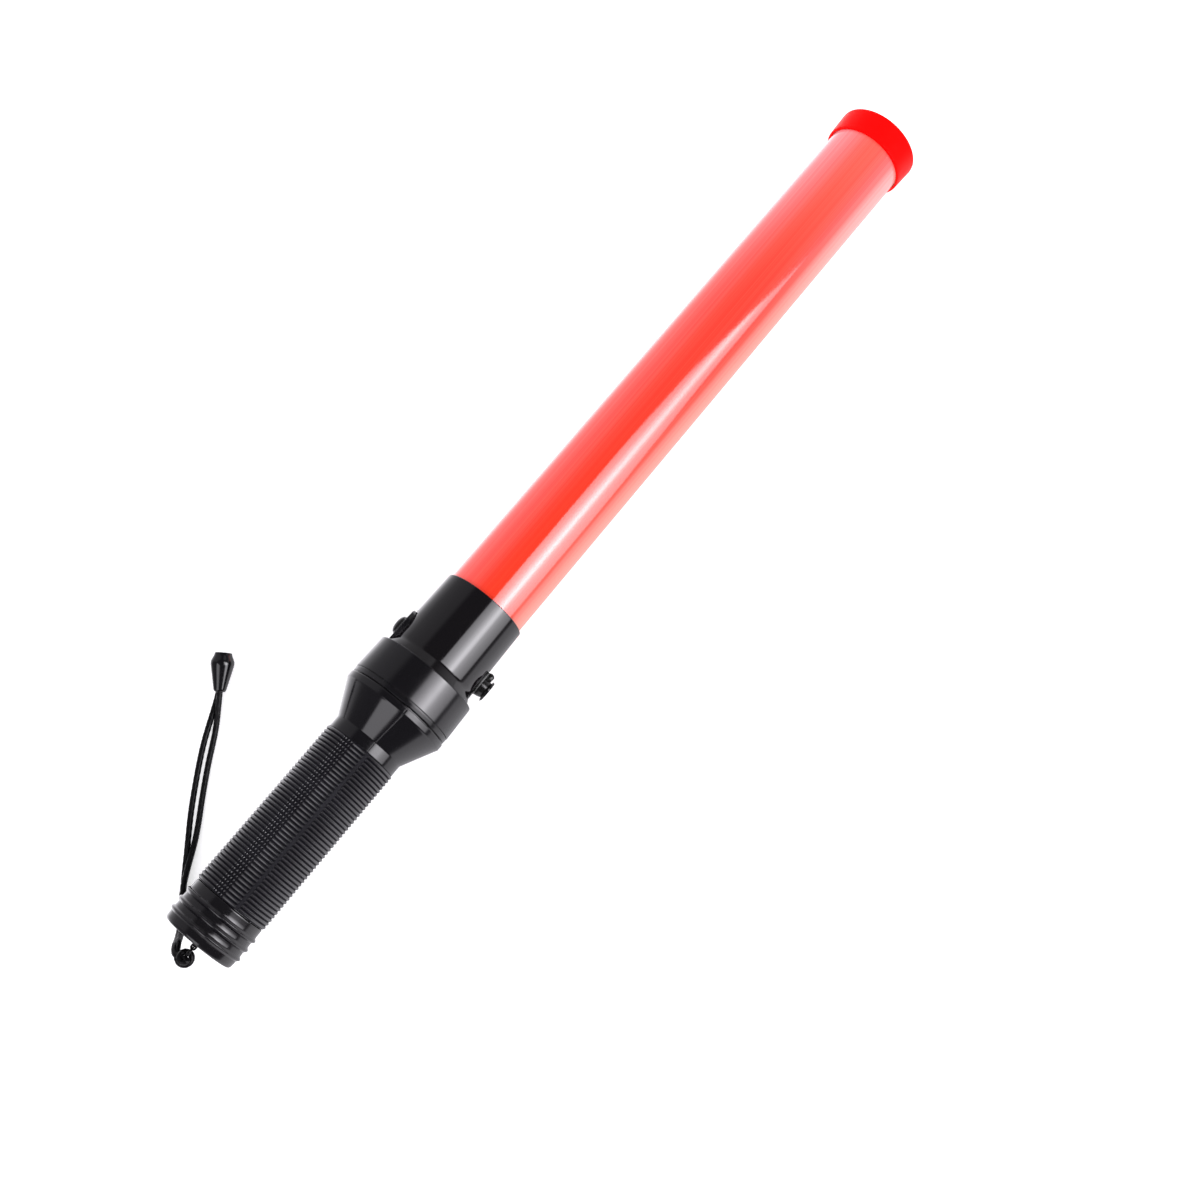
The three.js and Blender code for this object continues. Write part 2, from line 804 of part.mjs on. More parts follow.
wire(
  "wire_led_red",
  [[178, 4, 2], [168, 1.5, 3], [155, 2, 5], [BOARD_FRONT, 3, 6]],
  MATERIALS.redWire,
);
wire(
  "wire_led_black",
  [[178, -4, 2], [168, -1.5, 3], [155, -2, 2], [BOARD_FRONT, -2, 2]],
  MATERIALS.blackWire,
);

// ---- Wrist cord: a small link through the anchor's eye, a knot, two strands and a slider ----

const LINK_RADIUS = 3;
const LINK_THICKNESS = 0.5;
const LINK_STATION = -2.56;
const LINK_CENTRE = LINK_STATION - LINK_RADIUS;
const KNOT_CENTRE = LINK_CENTRE - LINK_RADIUS;
const KNOT_RADIUS = 2.6;
const KNOT_THICKNESS = 1.3;

const link = new THREE.TorusGeometry(LINK_RADIUS, LINK_THICKNESS, 6, 20).rotateX(Math.PI / 2);
const knot = new THREE.TorusGeometry(KNOT_RADIUS, KNOT_THICKNESS, 8, 18);
add("strap_loop", outward(link.translate(LINK_CENTRE, 0, 0)), MATERIALS.cord);
add("strap_knot", outward(knot.translate(KNOT_CENTRE, 0, 0)), MATERIALS.cord);

const CORD_PATH = smoothCurve([
  [KNOT_CENTRE - 0.4, KNOT_RADIUS + KNOT_THICKNESS + 2, -1],
  [-9.2, 7.4, -9],
  [-4.4, 10.6, -19],
  [3, 14.6, -24.2],
  [12.8, 20.6, -25.4],
  [35, 34.8, CORD_HEIGHT],
  [58, 49.2, CORD_HEIGHT],
  [78, 62, CORD_HEIGHT],
  [90, 69.2, CORD_HEIGHT + 0.6],
]);
const BULGE_START = 0.4;
const BULGE_END = 1.04;
const BULGE = 1.7;
const CLOSED_OFFSET = 0.8;

// Half the gap between the strands' centres: side by side where the cord opens, stacked where it closes.
function strandOffset(t) {
  const open = THREE.MathUtils.clamp((t - BULGE_START) / (BULGE_END - BULGE_START), 0, 1);
  const sideways = CLOSED_OFFSET + BULGE * Math.sin(open * Math.PI);
  const spacing = CORD_RADIUS + 0.2;
  const upwards = Math.sqrt(Math.max(0, spacing ** 2 - sideways ** 2));
  return { sideways, upwards };
}

function strand(side, samples) {
  const up = new THREE.Vector3(0, 0, 1);
  return Array.from({ length: samples + 1 }, (_, i) => {
    const t = i / samples;
    const { sideways, upwards } = strandOffset(t);
    const across = CORD_PATH.getTangentAt(t).cross(up).normalize();
    return CORD_PATH.getPointAt(t)
      .addScaledVector(across, side * sideways)
      .addScaledVector(up, side * upwards);
  });
}

function cordLoop() {
  const samples = 16;
  const out = strand(1, samples);
  const back = strand(-1, samples).reverse();
  const turn = CORD_PATH.getPointAt(1).addScaledVector(CORD_PATH.getTangentAt(1), 1.3);
  const curve = new THREE.CatmullRomCurve3([...out, turn, ...back], false, "centripetal");
  return swept(curve, CORD_RADIUS, 64, 6);
}

// The bell: narrow where the cord enters, lying on its side with its widest ring near the floor.
function slider() {
  const bell = alongX(
    [
      [0, 0],
      [0, 2.35],
      [13.4, SLIDER_RADIUS],
      [15, SLIDER_RADIUS],
      [SLIDER_LENGTH, 3.75],
      [SLIDER_LENGTH, 0],
    ],
    SMALL_SEGMENTS,
  );
  const mouth = new THREE.Vector3(93.4, 71.2, -25.2);
  const heading = new THREE.Vector3(14.6, 9.6, 2.4).normalize();
  const turn = new THREE.Quaternion().setFromUnitVectors(new THREE.Vector3(1, 0, 0), heading);
  return bell.applyQuaternion(turn).translate(mouth.x, mouth.y, mouth.z);
}

add("strap_cord", cordLoop(), MATERIALS.cord);
add("cord_lock", slider(), MATERIALS.blackPlastic);

export default baton;
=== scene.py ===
# Traffic baton light: surfaces, materials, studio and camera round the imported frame.
#
# Shapes are written in millimetres. +X runs from the tail to the tip, +Z is up, +Y is the button's
# side. Angles round the baton are in degrees: 0 is the top, 90 the socket's side (-Y).

import json
import math

import bmesh
import bpy
import numpy as np
from mathutils import Matrix, Vector


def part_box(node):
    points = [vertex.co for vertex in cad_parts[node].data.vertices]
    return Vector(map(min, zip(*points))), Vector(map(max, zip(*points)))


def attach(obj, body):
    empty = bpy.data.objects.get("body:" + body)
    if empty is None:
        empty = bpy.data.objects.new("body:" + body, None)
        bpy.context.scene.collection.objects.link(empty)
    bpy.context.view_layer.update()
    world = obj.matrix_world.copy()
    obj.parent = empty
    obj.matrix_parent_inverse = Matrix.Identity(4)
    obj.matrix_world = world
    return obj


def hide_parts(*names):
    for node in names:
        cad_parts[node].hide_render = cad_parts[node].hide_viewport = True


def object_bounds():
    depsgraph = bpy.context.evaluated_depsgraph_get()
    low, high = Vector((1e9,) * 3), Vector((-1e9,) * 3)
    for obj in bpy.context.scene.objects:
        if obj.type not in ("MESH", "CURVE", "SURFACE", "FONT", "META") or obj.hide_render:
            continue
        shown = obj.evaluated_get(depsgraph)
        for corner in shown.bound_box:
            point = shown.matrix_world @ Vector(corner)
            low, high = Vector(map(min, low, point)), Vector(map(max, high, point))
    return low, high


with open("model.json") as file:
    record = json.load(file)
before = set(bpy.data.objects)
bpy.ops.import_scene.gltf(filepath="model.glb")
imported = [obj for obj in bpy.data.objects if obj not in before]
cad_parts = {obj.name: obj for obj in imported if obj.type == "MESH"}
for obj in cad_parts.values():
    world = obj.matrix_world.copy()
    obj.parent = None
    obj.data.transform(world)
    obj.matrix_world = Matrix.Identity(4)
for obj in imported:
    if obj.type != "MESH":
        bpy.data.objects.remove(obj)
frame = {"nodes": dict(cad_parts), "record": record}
CAD_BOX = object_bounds()
MM = 0.001


def corners(node):
    """Lowest and highest corner of a CAD node, in millimetres."""
    low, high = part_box(node)
    return low / MM, high / MM


# ---- Stations and radii, from the frame ----

TAIL_CAP_HIGH = corners("tail_cap")[1]
SHELL_LOW, SHELL_HIGH = corners("handle_shell")
COLLAR_LOW, COLLAR_HIGH = corners("head_collar")
NECK_HIGH = corners("neck_sleeve")[1]
TUBE_LOW, TUBE_HIGH = corners("red_tube")
TIP_LOW, TIP_HIGH = corners("tip_cap")
BEZEL_LOW, BEZEL_HIGH = corners("switch_bezel")
BUTTON_LOW, BUTTON_HIGH = corners("switch_button")
COVER_LOW, COVER_HIGH = corners("port_cover")
JACK_LOW, JACK_HIGH = corners("dc_jack")
SEAL_LOW, SEAL_HIGH = corners("tail_seal")
LINK_HIGH = corners("strap_loop")[1]

SPIGOT_END = TAIL_CAP_HIGH.x
RIBS_START = SHELL_LOW.x
SHELL_END = SHELL_HIGH.x
HEAD_RADIUS = SHELL_HIGH.z
COLLAR_START, COLLAR_END = COLLAR_LOW.x, COLLAR_HIGH.x
NECK_END = NECK_HIGH.x
TUBE_RADIUS = TUBE_HIGH.z
TIP_RADIUS = TIP_HIGH.z
BUTTON_STATION = (BUTTON_LOW.x + BUTTON_HIGH.x) / 2
BUTTON_RADIUS = (BUTTON_HIGH.x - BUTTON_LOW.x) / 2
JACK_STATION = (JACK_LOW.x + JACK_HIGH.x) / 2
FLOOR_HEIGHT = CAD_BOX[0].z

# ---- Sizes that the frame's boxes don't hold ----

GRIP_RADIUS = 18.8
GRIP_BORE = 16.9
THREAD_BORE = 17.5
RIB_ROOT = 18.72
RIB_TOP = 19.5
RIB_COUNT = 44
RIBS_END = 112.0
CONE_START = 118.0
CONE_END = 134.6
HEAD_END = 138.4
COLLAR_RADIUS = 27.8
COLLAR_END_RADIUS = 27.15
COLLAR_BORE = 25.8
THREAD_RADIUS = 25.4
NECK_SHOULDER = 164.7
NECK_RADIUS = 23.1
NECK_END_RADIUS = 22.4
NECK_BORE = 17.6
TUBE_SEAT = 183.3
TUBE_WALL = 1.5
FLAT_OFFSET = 20.3
FLAT_START, FLAT_END = 160.6, 180.6
FLAT_HALF_WIDTH = 7.5
NECK_START = 149.6
COLLAR_GROOVE = (141.25, 141.4, 141.8, 141.95)
COLLAR_GROOVE_DEPTH = 0.8
CORD_RADIUS = 1.48
LINK_RADIUS = 0.44
LINK_SWELL = 0.5
LINK_LENGTH = 12.7
CORD_HEIGHT = -26.5


# ---- Mesh helpers ----


def make_mesh(name, vertices, faces, crease=40):
    """An object from millimetre vertices: merged, facing out, smooth except at sharp edges."""
    mesh = bpy.data.meshes.new(name)
    mesh.from_pydata((np.asarray(vertices, float) * MM).tolist(), [], faces)
    work = bmesh.new()
    work.from_mesh(mesh)
    bmesh.ops.remove_doubles(work, verts=work.verts, dist=2e-6)
    bmesh.ops.dissolve_degenerate(work, edges=work.edges, dist=1e-7)
    bmesh.ops.recalc_face_normals(work, faces=work.faces)
    work.to_mesh(mesh)
    work.free()
    shade(mesh, crease)
    obj = bpy.data.objects.new(name, mesh)
    bpy.context.scene.collection.objects.link(obj)
    return obj


def shade(mesh, crease):
    mesh.shade_smooth()
    mesh.set_sharp_from_angle(angle=math.radians(crease))


def rounded(points, steps=5, hold=0.25):
    """A closed outline through (along, radius, fillet) corners, each turned by its own fillet.

    Short holding edges on both sides of a fillet keep the long faces flat when shaded smooth.
    """
    outline = []
    for i, (along, radius, fillet) in enumerate(points):
        here = np.array((along, radius))
        before = np.array(points[i - 1][:2]) - here
        after = np.array(points[(i + 1) % len(points)][:2]) - here
        if fillet == 0:
            outline.append(here)
            continue
        room_before, room_after = np.linalg.norm(before), np.linalg.norm(after)
        reach = min(fillet, 0.45 * room_before, 0.45 * room_after)
        start = here + before / room_before * reach
        end = here + after / room_after * reach
        if room_before > 2.2 * (reach + hold):
            outline.append(start + before / room_before * hold)
        for t in np.linspace(0, 1, steps):
            outline.append((1 - t) ** 2 * start + 2 * t * (1 - t) * here + t ** 2 * end)
        if room_after > 2.2 * (reach + hold):
            outline.append(end + after / room_after * hold)
    return np.array(outline)


def even_angles(count, extra=()):
    """Angles in degrees, evenly spaced, with finer ones added where the surface has detail."""
    even = np.arange(count) * 360.0 / count
    return np.unique(np.round(np.concatenate([even, np.mod(np.array(extra, float), 360)]), 3))


def turned_grid(outline, angles, relief=None):
    """Vertices and faces of a closed (along, radius) outline turned about X."""
    turn = np.radians(angles)[None, :]
    along = np.repeat(outline[:, :1], len(angles), axis=1)
    radius = np.repeat(outline[:, 1:], len(angles), axis=1)
    if relief is not None:
        radius = relief(along, radius, np.degrees((turn + math.pi) % (2 * math.pi) - math.pi))
    points = np.stack([along, -radius * np.sin(turn), radius * np.cos(turn)], axis=-1)
    rows, columns = radius.shape
    row, column = np.meshgrid(np.arange(rows), np.arange(columns), indexing="ij")
    next_row, next_column = (row + 1) % rows, (column + 1) % columns
    corners_of = [(row, column), (row, next_column), (next_row, next_column), (next_row, column)]
    faces = np.stack([(r * columns + c).ravel() for r, c in corners_of], axis=-1)
    return points.reshape(-1, 3), faces.tolist()


def turned(name, outline, angles, relief=None, turn=Matrix.Identity(3), place=(0, 0, 0)):
    """A turned piece. The outline runs along X; turn and place then put it where it belongs."""
    points, faces = turned_grid(outline, angles, relief)
    points = points @ np.array(turn).T + np.array(place)
    return make_mesh(name, points, faces)


TO_PLUS_Y = Matrix(((0, -1, 0), (1, 0, 0), (0, 0, 1)))
TO_MINUS_Y = Matrix(((0, 1, 0), (-1, 0, 0), (0, 0, 1)))


def boss(name, points, sides, turn, station):
    """A turned piece that stands out sideways from the baton's axis at a station."""
    return turned(name, rounded(points), even_angles(sides), turn=turn, place=(station, 0, 0))


def frames_along(path, closed=False):
    """Tangent, side and up vectors along a path of points, without sudden twists."""
    step = np.roll(path, -1, axis=0) - np.roll(path, 1, axis=0)
    if not closed:
        step[0], step[-1] = path[1] - path[0], path[-1] - path[-2]
    tangent = step / np.linalg.norm(step, axis=1)[:, None]
    side = np.zeros_like(path)
    side[0] = np.cross(tangent[0], (0.1, 0.2, 1.0))
    side[0] /= np.linalg.norm(side[0])
    for i in range(1, len(path)):
        carried = side[i - 1] - tangent[i] * (side[i - 1] @ tangent[i])
        side[i] = carried / np.linalg.norm(carried)
    return tangent, side, np.cross(tangent, side)


def swept(name, path, radius_at, sides=16, closed=False, crease=60):
    """A cord along a path. radius_at(distance, angle) gives its radius, so that it can be braided."""
    path = np.asarray(path, float)
    _, side, up = frames_along(path, closed)
    gaps = np.linalg.norm(np.diff(path, axis=0), axis=1)
    distance = np.concatenate([[0], np.cumsum(gaps)])[:, None]
    angle = (np.arange(sides) * 2 * math.pi / sides)[None, :]
    radius = radius_at(distance, angle)[..., None]
    around = np.cos(angle)[..., None] * side[:, None, :] + np.sin(angle)[..., None] * up[:, None, :]
    points = (path[:, None, :] + radius * around).reshape(-1, 3)
    rings = len(path)
    faces = []
    for i in range(rings if closed else rings - 1):
        for j in range(sides):
            k = (j + 1) % sides
            after = (i + 1) % rings
            faces.append((i * sides + j, i * sides + k, after * sides + k, after * sides + j))
    if not closed:
        faces.append(tuple(range(sides)))
        faces.append(tuple((rings - 1) * sides + j for j in range(sides)))
    return make_mesh(name, points, faces, crease)


def extruded(name, outline, low, high, bevel=0.0, turn=Matrix.Identity(3)):
    """A flat outline in XY, lofted from low to high in Z, its two rims rounded by bevel."""
    outline = np.asarray(outline, float)
    edge = np.roll(outline, -1, axis=0) - np.roll(outline, 1, axis=0)
    normal = np.stack([edge[:, 1], -edge[:, 0]], axis=1)
    normal /= np.linalg.norm(normal, axis=1)[:, None]
    levels = []
    for t in np.linspace(0, 1, 5) if bevel else [1]:
        turned_by = t * math.pi / 2
        levels.append((low + bevel * (1 - math.sin(turned_by)), bevel * (1 - math.cos(turned_by))))
    rims = [(z, inset) for z, inset in reversed(levels)]
    rims += [(low + high - z, inset) for z, inset in levels]
    rims.sort()
    loops = [np.column_stack([outline - normal * inset, np.full(len(outline), z)]) for z, inset in rims]
    points = np.concatenate(loops) @ np.array(turn).T
    count = len(outline)
    faces = [tuple(reversed(range(count))), tuple((len(loops) - 1) * count + i for i in range(count))]
    for level in range(len(loops) - 1):
        for i in range(count):
            k = (i + 1) % count
            base, top = level * count, (level + 1) * count
            faces.append((base + i, base + k, top + k, top + i))
    return make_mesh(name, points, faces)


def combine(obj, tool, operation, crease=35):
    """A boolean cut or union of two objects; the tool is used up."""
    modifier = obj.modifiers.new("combine", "BOOLEAN")
    modifier.object = tool
    modifier.operation = operation
    modifier.solver = "EXACT"
    evaluated = obj.evaluated_get(bpy.context.evaluated_depsgraph_get())
    mesh = bpy.data.meshes.new_from_object(evaluated)
    obj.modifiers.clear()
    obj.data = mesh
    shade(mesh, crease)
    bpy.data.objects.remove(tool)
    return obj


def rounded_box(name, low, high, bevel):
    """A box between two corners with rounded edges."""
    size = Vector(high) - Vector(low)
    middle = (Vector(high) + Vector(low)) / 2
    work = bmesh.new()
    bmesh.ops.create_cube(work, size=1)
    for vertex in work.verts:
        vertex.co = Vector(a * b for a, b in zip(vertex.co, size)) + middle
    bmesh.ops.bevel(work, geom=work.edges[:], offset=bevel, segments=3, profile=0.5, affect="EDGES")
    work.verts.index_update()
    points = [tuple(v.co) for v in work.verts]
    faces = [tuple(v.index for v in face.verts) for face in work.faces]
    work.free()
    return make_mesh(name, points, faces)


# ---- Shader helpers ----


class Graph:
    """A node tree written as nested calls. Values may be numbers, colours or sockets."""

    def __init__(self, tree):
        self.tree = tree
        tree.nodes.clear()

    def node(self, kind, inputs=None, **settings):
        node = self.tree.nodes.new(kind)
        for key, value in settings.items():
            setattr(node, key, value)
        for key, value in (inputs or {}).items():
            self.connect(node.inputs[key], value)
        return node

    def connect(self, socket, value):
        if isinstance(value, bpy.types.NodeSocket):
            self.tree.links.new(value, socket)
        elif socket.type == "RGBA":
            socket.default_value = (*value[:3], 1.0)
        else:
            socket.default_value = value

    def math(self, operation, a, b=0.0):
        return self.node("ShaderNodeMath", {0: a, 1: b}, operation=operation).outputs[0]

    def smooth(self, value, low, high, start=0.0, end=1.0):
        inputs = {"Value": value, "From Min": low, "From Max": high, "To Min": start, "To Max": end}
        return self.node("ShaderNodeMapRange", inputs, interpolation_type="SMOOTHSTEP").outputs[0]

    def curve(self, value, low, high, stops, peak=1.0):
        """A number that follows (position, height) stops, positions running from low to high."""
        share = self.node("ShaderNodeMapRange", {"Value": value, "From Min": low, "From Max": high})
        heights = [((at - low) / (high - low), (height / peak,) * 3) for at, height in stops]
        return self.math("MULTIPLY", self.ramp(share.outputs[0], heights), peak)

    def ramp(self, value, stops):
        node = self.node("ShaderNodeValToRGB", {"Fac": value})
        elements = node.color_ramp.elements
        while len(elements) < len(stops):
            elements.new(0.5)
        for element, (position, color) in zip(elements, stops):
            element.position = position
        for element, (position, color) in zip(elements, stops):
            element.position = position
            element.color = (*color, 1.0)
        return node.outputs["Color"]

    def mix(self, share, a, b, kind="RGBA"):
        inputs = {"Factor": share, "A": a, "B": b}
        return self.node("ShaderNodeMix", inputs, data_type=kind).outputs["Result"]

    def position(self):
        return self.node("ShaderNodeTexCoord").outputs["Object"]

    def split(self, vector):
        return self.node("ShaderNodeSeparateXYZ", {0: vector}).outputs

    def noise(self, scale, detail=2.0, stretch=(1, 1, 1)):
        """Noise between 0 and 1; scale is in features per metre."""
        mapped = self.node("ShaderNodeMapping", {"Vector": self.position(), "Scale": stretch}).outputs[0]
        inputs = {"Vector": mapped, "Scale": scale, "Detail": detail}
        return self.node("ShaderNodeTexNoise", inputs).outputs[0]

    def bump(self, height, distance, strength=1.0, below=None):
        inputs = {"Height": height, "Distance": distance, "Strength": strength}
        if below is not None:
            inputs["Normal"] = below
        return self.node("ShaderNodeBump", inputs).outputs[0]

    def surface(self, **inputs):
        """Principled surface; input names are written with underscores."""
        named = {key.replace("_", " ").capitalize(): value for key, value in inputs.items()}
        node = self.node("ShaderNodeBsdfPrincipled")
        lookup = {socket.name.capitalize(): socket for socket in node.inputs}
        for key, value in named.items():
            self.connect(lookup[key], value)
        output = self.node("ShaderNodeOutputMaterial")
        self.tree.links.new(node.outputs[0], output.inputs["Surface"])


def new_material(name):
    material = bpy.data.materials.new(name)
    material.use_nodes = True
    return material, Graph(material.node_tree)


def angle_round(graph):
    """The angle round the baton's axis, in radians, at each point of a surface."""
    _, y, z = graph.split(graph.position())
    return graph.math("ARCTAN2", y, z)


def gloss_plastic(name, color, roughness, sag=0.045):
    """Polished moulded plastic: a faint orange peel, uneven polish and paler worn edges."""
    wear, orange_peel = 0.5, 0.004
    material, g = new_material(name)
    polish = g.noise(55, 3)
    scuffs = g.smooth(g.noise(420, 4, stretch=(0.35, 1, 1)), 0.6, 0.78)
    edge = g.smooth(g.node("ShaderNodeNewGeometry").outputs["Pointiness"], 0.515, 0.56)
    worn = g.math("MULTIPLY", edge, wear)
    pale = tuple(min(1.0, channel * 2.2 + 0.012) for channel in color)
    rough = g.smooth(polish, 0.3, 0.75, roughness * 0.85, roughness * 1.2)
    rough = g.math("ADD", rough, g.math("MULTIPLY", scuffs, 0.05))
    rough = g.math("ADD", rough, g.math("MULTIPLY", worn, 0.12))
    peel = g.bump(g.noise(900, 1), orange_peel * MM, 0.6)
    sunk = g.bump(g.noise(70, 2), sag * MM, 0.5, below=peel)
    g.surface(base_color=g.mix(worn, color, pale), roughness=rough, normal=sunk)
    return material


def grip_plastic():
    """Semi-matt black plastic: glossier on the ribs' crests, its reflection turned down between them as
    painted shade in the grooves.
    """
    material, g = new_material("ribbed_black_plastic")
    _, y, z = g.split(g.position())
    squared = g.math("ADD", g.math("MULTIPLY", y, y), g.math("MULTIPLY", z, z))
    crest = g.smooth(g.math("SQRT", squared), (RIB_ROOT + 0.15) * MM, (RIB_TOP - 0.12) * MM)
    grain = g.noise(5200, 2)
    handled = g.smooth(g.noise(38, 3), 0.42, 0.68)
    color = g.mix(handled, (0.0085, 0.0080, 0.0108), (0.0120, 0.0115, 0.0150))
    rough = g.math("SUBTRACT", g.smooth(crest, 0, 1, 0.50, 0.30), g.math("MULTIPLY", handled, 0.05))
    g.surface(
        base_color=color,
        roughness=rough,
        # reflection strength falls between the ribs: painted shade in the grooves
        specular_ior_level=g.smooth(crest, 0, 1, 0.06, 0.78),
        normal=g.bump(grain, 0.02 * MM, 0.2),
    )
    return material


def tube_plastic():
    """Translucent red tube streaked by its film, with painted light: sides paler as a painted reflection,
    paler near the tip as a painted inner reflection, and a painted glow through its -Y side.
    """
    material, g = new_material("red_tube")
    x, y, z = g.split(g.position())
    around = g.math("ARCTAN2", y, z)
    facing = g.node("ShaderNodeLayerWeight", {"Blend": 0.5}).outputs["Facing"]
    # facing ramp: the real red face-on, paler to the sides as a painted reflection of the room
    red_with_painted_edge_sheen = g.ramp(
        facing,
        [
            (0.0, (1.0, 0.047, 0.014)),
            (0.05, (1.0, 0.049, 0.022)),
            (0.10, (1.0, 0.062, 0.038)),
            (0.16, (1.0, 0.074, 0.050)),
            (0.25, (1.0, 0.088, 0.070)),
            (0.42, (1.0, 0.118, 0.102)),
            (1.0, (1.0, 0.160, 0.150)),
        ],
    )
    ridges = g.node("ShaderNodeTexWave", {"Scale": 1.0}, wave_type="BANDS", bands_direction="X")
    lines = g.node("ShaderNodeCombineXYZ", {0: g.math("MULTIPLY", around, 7.0)}).outputs[0]
    g.connect(ridges.inputs["Vector"], lines)
    streak_at = g.node(
        "ShaderNodeCombineXYZ", {0: g.math("MULTIPLY", around, 9.0), 1: g.math("MULTIPLY", x, 1.2)}
    ).outputs[0]
    streak = g.node("ShaderNodeTexNoise", {"Vector": streak_at, "Scale": 1.6, "Detail": 3.0}).outputs[0]
    tone = g.math("ADD", g.math("MULTIPLY", g.smooth(streak, 0.3, 0.7), 0.3), 0.84)
    tone = g.math("ADD", tone, g.math("MULTIPLY", ridges.outputs["Fac"], 0.10))
    # green and blue lifted toward the tip, more at the sides: painted inner reflection
    near_tip = g.smooth(x, 0.39, 0.545)
    side = g.math("MINIMUM", facing, 0.3)
    green_lift = g.math("ADD", g.math("MULTIPLY", side, 2.2), 0.55)
    green_lift = g.math("MULTIPLY", tone, g.math("ADD", g.math("MULTIPLY", green_lift, near_tip), 1.0))
    blue_lift = g.math("ADD", g.math("MULTIPLY", side, 4.4), 0.30)
    blue_lift = g.math("MULTIPLY", tone, g.math("ADD", g.math("MULTIPLY", blue_lift, near_tip), 1.0))
    red, green, blue = g.node("ShaderNodeSeparateColor", {0: red_with_painted_edge_sheen}).outputs[:3]
    color = g.node(
        "ShaderNodeCombineColor",
        {0: red, 1: g.math("MULTIPLY", green, green_lift), 2: g.math("MULTIPLY", blue, blue_lift)},
    ).outputs[0]
    # painted light: the tube glows on its -Y side as if the studio's light shone through it
    normal_y = g.split(g.node("ShaderNodeNewGeometry").outputs["Normal"])[1]
    through = g.smooth(g.math("MULTIPLY", normal_y, -1.0), 0.45, 0.95)
    film = g.bump(ridges.outputs["Fac"], 0.01 * MM, 0.15)
    g.surface(
        base_color=color,
        roughness=0.07,
        specular_ior_level=0.75,
        normal=film,
        emission_color=(0.0, 0.60, 0.36),
        emission_strength=g.math("MULTIPLY", through, g.smooth(x, 0.40, 0.545, 0.22, 0.15)),
    )
    return material


def cap_plastic():
    """Opaque bright red plastic with faint flow marks."""
    material, g = new_material("red_cap")
    flow = g.noise(60, 3, stretch=(0.4, 1, 1))
    color = g.mix(g.smooth(flow, 0.35, 0.7), (0.98, 0.0010, 0.0008), (1.0, 0.0035, 0.0025))
    grain = g.bump(g.noise(2400, 2), 0.01 * MM, 0.3)
    g.surface(base_color=color, roughness=0.35, specular_ior_level=0.05, normal=grain)
    return material


def rubber():
    """Black moulded rubber: dull, a little dusty, with a soft sheen."""
    material, g = new_material("rubber")
    dust = g.smooth(g.noise(650, 5), 0.52, 0.78)
    color = g.mix(dust, (0.006, 0.006, 0.006), (0.019, 0.018, 0.017))
    rough = g.smooth(dust, 0, 1, 0.24, 0.45)
    grain = g.bump(g.noise(3000, 3), 0.02 * MM, 0.3)
    g.surface(base_color=color, roughness=rough, specular_ior_level=0.35, normal=grain)
    return material


def cord_fibre():
    """Waxed black braid: fine threads that catch the light along the cord."""
    material, g = new_material("cord")
    threads = g.noise(4200, 2, stretch=(1, 1, 0.5))
    fluff = g.smooth(g.noise(900, 4), 0.5, 0.75)
    color = g.mix(fluff, (0.0018, 0.0016, 0.0022), (0.0050, 0.0046, 0.0060))
    g.surface(
        base_color=color,
        roughness=g.smooth(threads, 0.3, 0.7, 0.34, 0.52),
        specular_ior_level=0.2,
        normal=g.bump(threads, 0.05 * MM, 0.5),
    )
    return material


def metal(name, color, roughness):
    """Bare metal with drawn lines and slight tarnish."""
    material, g = new_material(name)
    tarnish = g.smooth(g.noise(180, 4), 0.45, 0.75)
    dull = tuple(channel * 0.55 for channel in color)
    lines = g.noise(2600, 2, stretch=(0.08, 1, 1))
    rough = g.smooth(lines, 0.3, 0.7, roughness * 0.7, roughness * 1.3)
    g.surface(
        base_color=g.mix(tarnish, color, dull),
        metallic=1.0,
        roughness=rough,
        normal=g.bump(lines, 0.01 * MM, 0.4),
    )
    return material


def printed_board():
    """Green circuit board: solder mask over woven glass, with copper tracks under it."""
    material, g = new_material("circuit_board")
    weave = g.node("ShaderNodeTexChecker", {"Vector": g.position(), "Scale": 1800.0}).outputs["Fac"]
    brick = {"Vector": g.position(), "Scale": 260.0, "Mortar Size": 0.012}
    tracks = g.node("ShaderNodeTexBrick", brick).outputs["Fac"]
    mask = g.mix(g.math("MULTIPLY", weave, 0.25), (0.012, 0.13, 0.045), (0.02, 0.19, 0.07))
    g.surface(base_color=g.mix(tracks, mask, (0.05, 0.24, 0.07)), roughness=0.32)
    return material


def moulded(name, color, roughness):
    """Plain moulded plastic with a mottled tone and a light grain."""
    material, g = new_material(name)
    mottle = g.smooth(g.noise(70, 3), 0.35, 0.7)
    darker = tuple(channel * 0.78 for channel in color)
    g.surface(
        base_color=g.mix(mottle, color, darker),
        roughness=g.smooth(mottle, 0, 1, roughness, roughness * 1.25),
        normal=g.bump(g.noise(2800, 2), 0.02 * MM, 0.3),
    )
    return material


def foam():
    material, g = new_material("foam")
    cells = g.node("ShaderNodeTexVoronoi", {"Vector": g.position(), "Scale": 1500.0}).outputs["Distance"]
    color = g.mix(cells, (0.018, 0.018, 0.018), (0.07, 0.07, 0.07))
    g.surface(base_color=color, roughness=0.95, normal=g.bump(cells, 0.2 * MM, 0.8))
    return material


def cell_wrap():
    """Shrink-wrapped cell: blue film with a paler band at its front."""
    material, g = new_material("cell_wrap")
    x = g.split(g.position())[0]
    band = g.smooth(x, 0.1005, 0.1010)
    wrinkle = g.noise(300, 3, stretch=(0.3, 1, 1))
    color = g.mix(band, (0.02, 0.13, 0.42), (0.55, 0.57, 0.6))
    g.surface(base_color=color, roughness=0.25, normal=g.bump(wrinkle, 0.05 * MM, 0.3))
    return material


